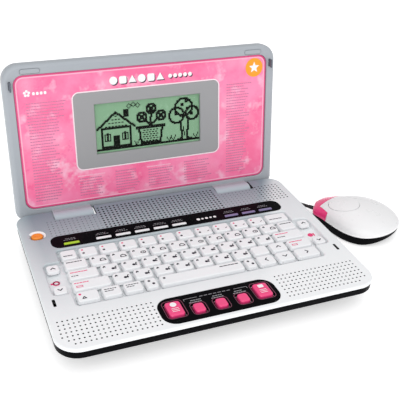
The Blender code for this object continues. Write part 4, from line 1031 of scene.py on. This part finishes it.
def picture():
    """A generic picture of a house, a pot of flowers and a tree, in square dots."""
    wide, high, pitch = 98, 44, 0.00113
    dots = set()

    def block(x0, y0, x1, y1):
        dots.update((x, y) for x in range(x0, x1 + 1) for y in range(y0, y1 + 1))

    def path(*points, brush=2):
        for (ax, ay), (bx, by) in zip(points, points[1:]):
            count = max(abs(bx - ax), abs(by - ay), 1)
            for k in range(count + 1):
                x, y = round(ax + (bx - ax) * k / count), round(ay + (by - ay) * k / count)
                block(x, y, x + brush - 1, y + brush - 1)

    def circle(cx, cy, r, brush=2):
        turns = [2 * pi * k / 40 for k in range(41)]
        path(*[(round(cx + r * cos(a)), round(cy + r * sin(a))) for a in turns], brush=brush)

    path((5, 3), (5, 20), (31, 20), (31, 3), (5, 3))
    path((1, 20), (18, 34), (35, 20))
    for k in range(4):
        for x in range(9 + 3 * k, 28 - 3 * k, 3):
            block(x, 22 + 3 * k, x + 1, 22 + 3 * k)
    block(16, 3, 21, 13)
    for x in (8, 24):
        path((x, 9), (x, 15), (x + 5, 15), (x + 5, 9), (x, 9), brush=1)
        path((x + 2, 9), (x + 2, 15), brush=2)
    block(26, 30, 30, 36)
    for k in range(3):
        circle(31 + 4 * k, 39 + k % 2, 1.6, brush=1)
    path((41, 3), (39, 17), (61, 17), (59, 3), (41, 3))
    block(37, 17, 64, 19)
    for y in range(5, 16, 2):
        for x in range(43 + (y // 2) % 2, 58, 3):
            block(x, y, x + 1, y)
    for x, y in ((42, 27), (51, 34), (60, 27)):
        path((x, y), (50, 19))
        circle(x, y, 4.2)
        block(x - 1, y - 1, x + 2, y + 2)
    for cx, cy, r in ((75, 25, 7), (82, 32, 8), (90, 26, 6)):
        circle(cx, cy, r)
    for x, y in ((74, 26), (80, 34), (85, 30), (89, 25), (79, 24), (84, 37)):
        block(x, y, x + 2, y + 2)
    path((79, 18), (80, 3), (76, 2))
    path((86, 19), (85, 3), (89, 2))
    path((82, 14), (83, 6), brush=1)
    path((0, 1), (97, 1))
    for x in (37, 68, 72, 94):
        path((x, 2), (x - 2, 6), brush=1)
        path((x, 2), (x + 2, 7), brush=1)
    left = -pitch * wide / 2
    low = sum(DISPLAY_Y) / 2 - pitch * high / 2
    bm = bmesh.new()
    for y in range(high):
        start = None
        for x in range(wide + 1):
            inked = (x, y) in dots and x < wide
            if inked and start is None:
                start = x
            elif not inked and start is not None:
                columns = (left + pitch * start, left + pitch * x)
                rows = (low + pitch * y, low + pitch * (y + 0.98))
                soft_slab(bm, columns, rows, (-0.0138, -0.0137), 0.0001, steps=1)
                start = None
    marks("display_dots", bm, [PIXEL], "lid", LID)


# ---- mouse
BACK, NOSE_DROP, TAIL_DROP = 0.0275, 0.013, 0.0115
KEY_AT = (0.0105, 0.006)
KEY_R = (0.0165, 0.014)


def plan(x, inset=0.0):
    tail, nose, wide, tip = TAIL - inset, NOSE - inset, WIDE - inset, TIP - inset
    if x <= WIDEST:
        part = min(1.0, (WIDEST - x) / (tail + WIDEST))
        return wide * sqrt(max(0.0, 1 - part**1.9))
    part = min(1.0, (x - WIDEST) / TAPER)
    width = tip + (wide - tip) * (0.5 + 0.5 * cos(pi * part))
    end = (x - (nose - 0.008)) / 0.008
    return width * sqrt(max(0.0, 1 - max(0.0, end) ** 2.5))


def stations(count, inset=0.0):
    low, high = -TAIL + inset, NOSE - inset
    return [low + (high - low) * (0.5 - 0.5 * cos(pi * k / count)) for k in range(count + 1)]


def crown(x):
    if x > 0:
        return BACK - NOSE_DROP * (x / NOSE) ** 2
    return BACK - TAIL_DROP * (-x / TAIL) ** 2.2


def tail_ramp(x):
    return min(1.0, max(0.0, (-x - 0.0198) / (TAIL - 0.0198))) ** 1.5


def split(x):
    """Height of the seam between the shells, which rises a little at the tail."""
    return 0.01 + 0.0041 * tail_ramp(x)


def belly(x):
    """Height of the base's lower edge, which lifts off the table at the tail."""
    return 0.0008 + 0.0092 * tail_ramp(x)


def dome(inset, floor, rings=28, count=56):
    sections = []
    for x in stations(count, inset)[1:-1]:
        width, low, top = plan(x, inset), split(x) + floor, crown(x) - inset
        turns = [pi * k / rings for k in range(rings + 1)]
        sections.append([(x, -width * cos(a), low + (top - low) * sin(a) ** 0.8) for a in turns])
    return lofted(sections)


def oval(grow):
    """The key's outline as a tall plug."""
    (x, y), (wide, deep) = KEY_AT, KEY_R
    turns = [2 * pi * k / 64 for k in range(64)]
    rim = [(x + (wide + grow) * cos(a), y + (deep + grow) * sin(a)) for a in turns]
    return lofted(prism(rim, 0.0, 0.05))


def collar_plan(gap):
    """The nose piece's plan: it runs back further on both flanks and the top's tongue reaches over it."""
    back = 0.022 + gap
    return [
        (0.06, -0.05), (0.06, 0.05), (back, 0.05), (back, 0.0215), (0.0345 + gap, 0.012),
        (back - 0.0006, -0.0174), (back, -0.05),
    ]


def mouse():
    rings = []
    for inset, part in ((0.002, 0.0), (0.0011, 0.05), (0.0006, 0.25), (0.0004, 0.7), (0.0005, 1.0)):
        xs = stations(40, inset)[1:-1]
        edge = [(x, -plan(x, inset)) for x in xs] + [(x, plan(x, inset)) for x in reversed(xs)]
        rings.append([(x, y, belly(x) + (split(x) - 0.0003 - belly(x)) * part) for x, y in edge])
    base = solid("mouse_base_shell", lofted(rings), [BLACK], MOUSE)
    bm = bmesh.new()
    rod(bm, (NOSE, 0, 0.0063), 0.0028, 0.016, "X", 20)
    carve(base, bm, MOUSE)
    done(base, "mouse", ["mouse_base", "mouse_board"])

    for name, material, slot in (
        ("mouse_top", MOUSE_WHITE, "mouse_white"), ("mouse_collar", PINK, "mouse_pink")
    ):
        shell = solid(f"{name}_shell", dome(0.0, 0.0), [material], MOUSE)
        carve(shell, dome(0.0018, -0.0015, 16, 30), MOUSE)
        outline = collar_plan(0.0 if name == "mouse_top" else 0.0003)
        bm = lofted(prism(outline, 0.0, 0.05))
        carve(shell, bm, MOUSE, "DIFFERENCE" if name == "mouse_top" else "INTERSECT")
        if name == "mouse_top":
            carve(shell, oval(0.0), MOUSE)
        done(shell, "mouse", [name], angle=40)
    key = solid("mouse_key_cap", dome(-0.0003, 0.0), [MOUSE_WHITE], MOUSE)
    carve(key, dome(0.0018, -0.0015, 16, 30), MOUSE)
    carve(key, oval(-0.0004), MOUSE, "INTERSECT")
    done(key, "mouse_key", ["mouse_key"], angle=40)


top_case()
bottom_case()
strip_and_panel()
keyboard()
side_keys()
strip_keys()
pink_keys()
power_button()
lid_frame()
lid_back()
face()
word_lists()
title()
badge()
screen()
mouse()

# ---- CAD pieces that stay, by how their names start
KEPT = {
    "battery_door": BLACK,
    "battery_": WRAP,
    "main_board": BOARD,
    "key_membrane": SILICONE,
    "speaker": STEEL,
    "cord_gland": RUBBER,
    "mouse_": RUBBER,
    "foot_": RUBBER,
    "hinge_pin": STEEL,
    "case_screw": STEEL,
    "catch_": DARK_GREY,
    "bumper_": LID_GREY,
    "screen_window": WINDOW,
}
for node, obj in frame["nodes"].items():
    if not obj.hide_render:
        obj.data.materials.clear()
        obj.data.materials.append(next(KEPT[start] for start in KEPT if node.startswith(start)))


# ---- studio
def studio():
    bm = bmesh.new()
    soft_slab(bm, (-4.0, 4.0), (-4.0, 4.0), (-0.02, 0.0), 0.5, steps=4)
    paper = flat_colour("studio_white", (0.93, 0.93, 0.935), 0.6, 0.005, 0.1)
    glow = paper.node_tree.nodes["Principled BSDF"].inputs
    glow["Emission Color"].default_value = (1.0, 1.0, 1.0, 1.0)
    glow["Emission Strength"].default_value = 0.45
    floor = solid("studio_floor", bm, [paper], Matrix.Identity(4))
    world = bpy.data.worlds.new("studio")
    scene.world = world
    world.use_nodes = True
    sky = world.node_tree.nodes["Background"].inputs
    sky["Color"].default_value = (1.0, 1.0, 1.0, 1.0)
    sky["Strength"].default_value = 0.6
    for name, place, power in (("key", (-0.8, -1.6, 1.4), 22.0), ("top", (0.3, 0.1, 1.8), 8.0)):
        data = bpy.data.lights.new(name, "AREA")
        data.shape = "SQUARE"
        data.size = 2.2
        data.energy = power
        lamp = bpy.data.objects.new(name, data)
        scene.collection.objects.link(lamp)
        lamp.location = place
        lamp.rotation_euler = (Vector((0, 0, 0.05)) - Vector(place)).to_track_quat("-Z", "Y").to_euler()


studio()
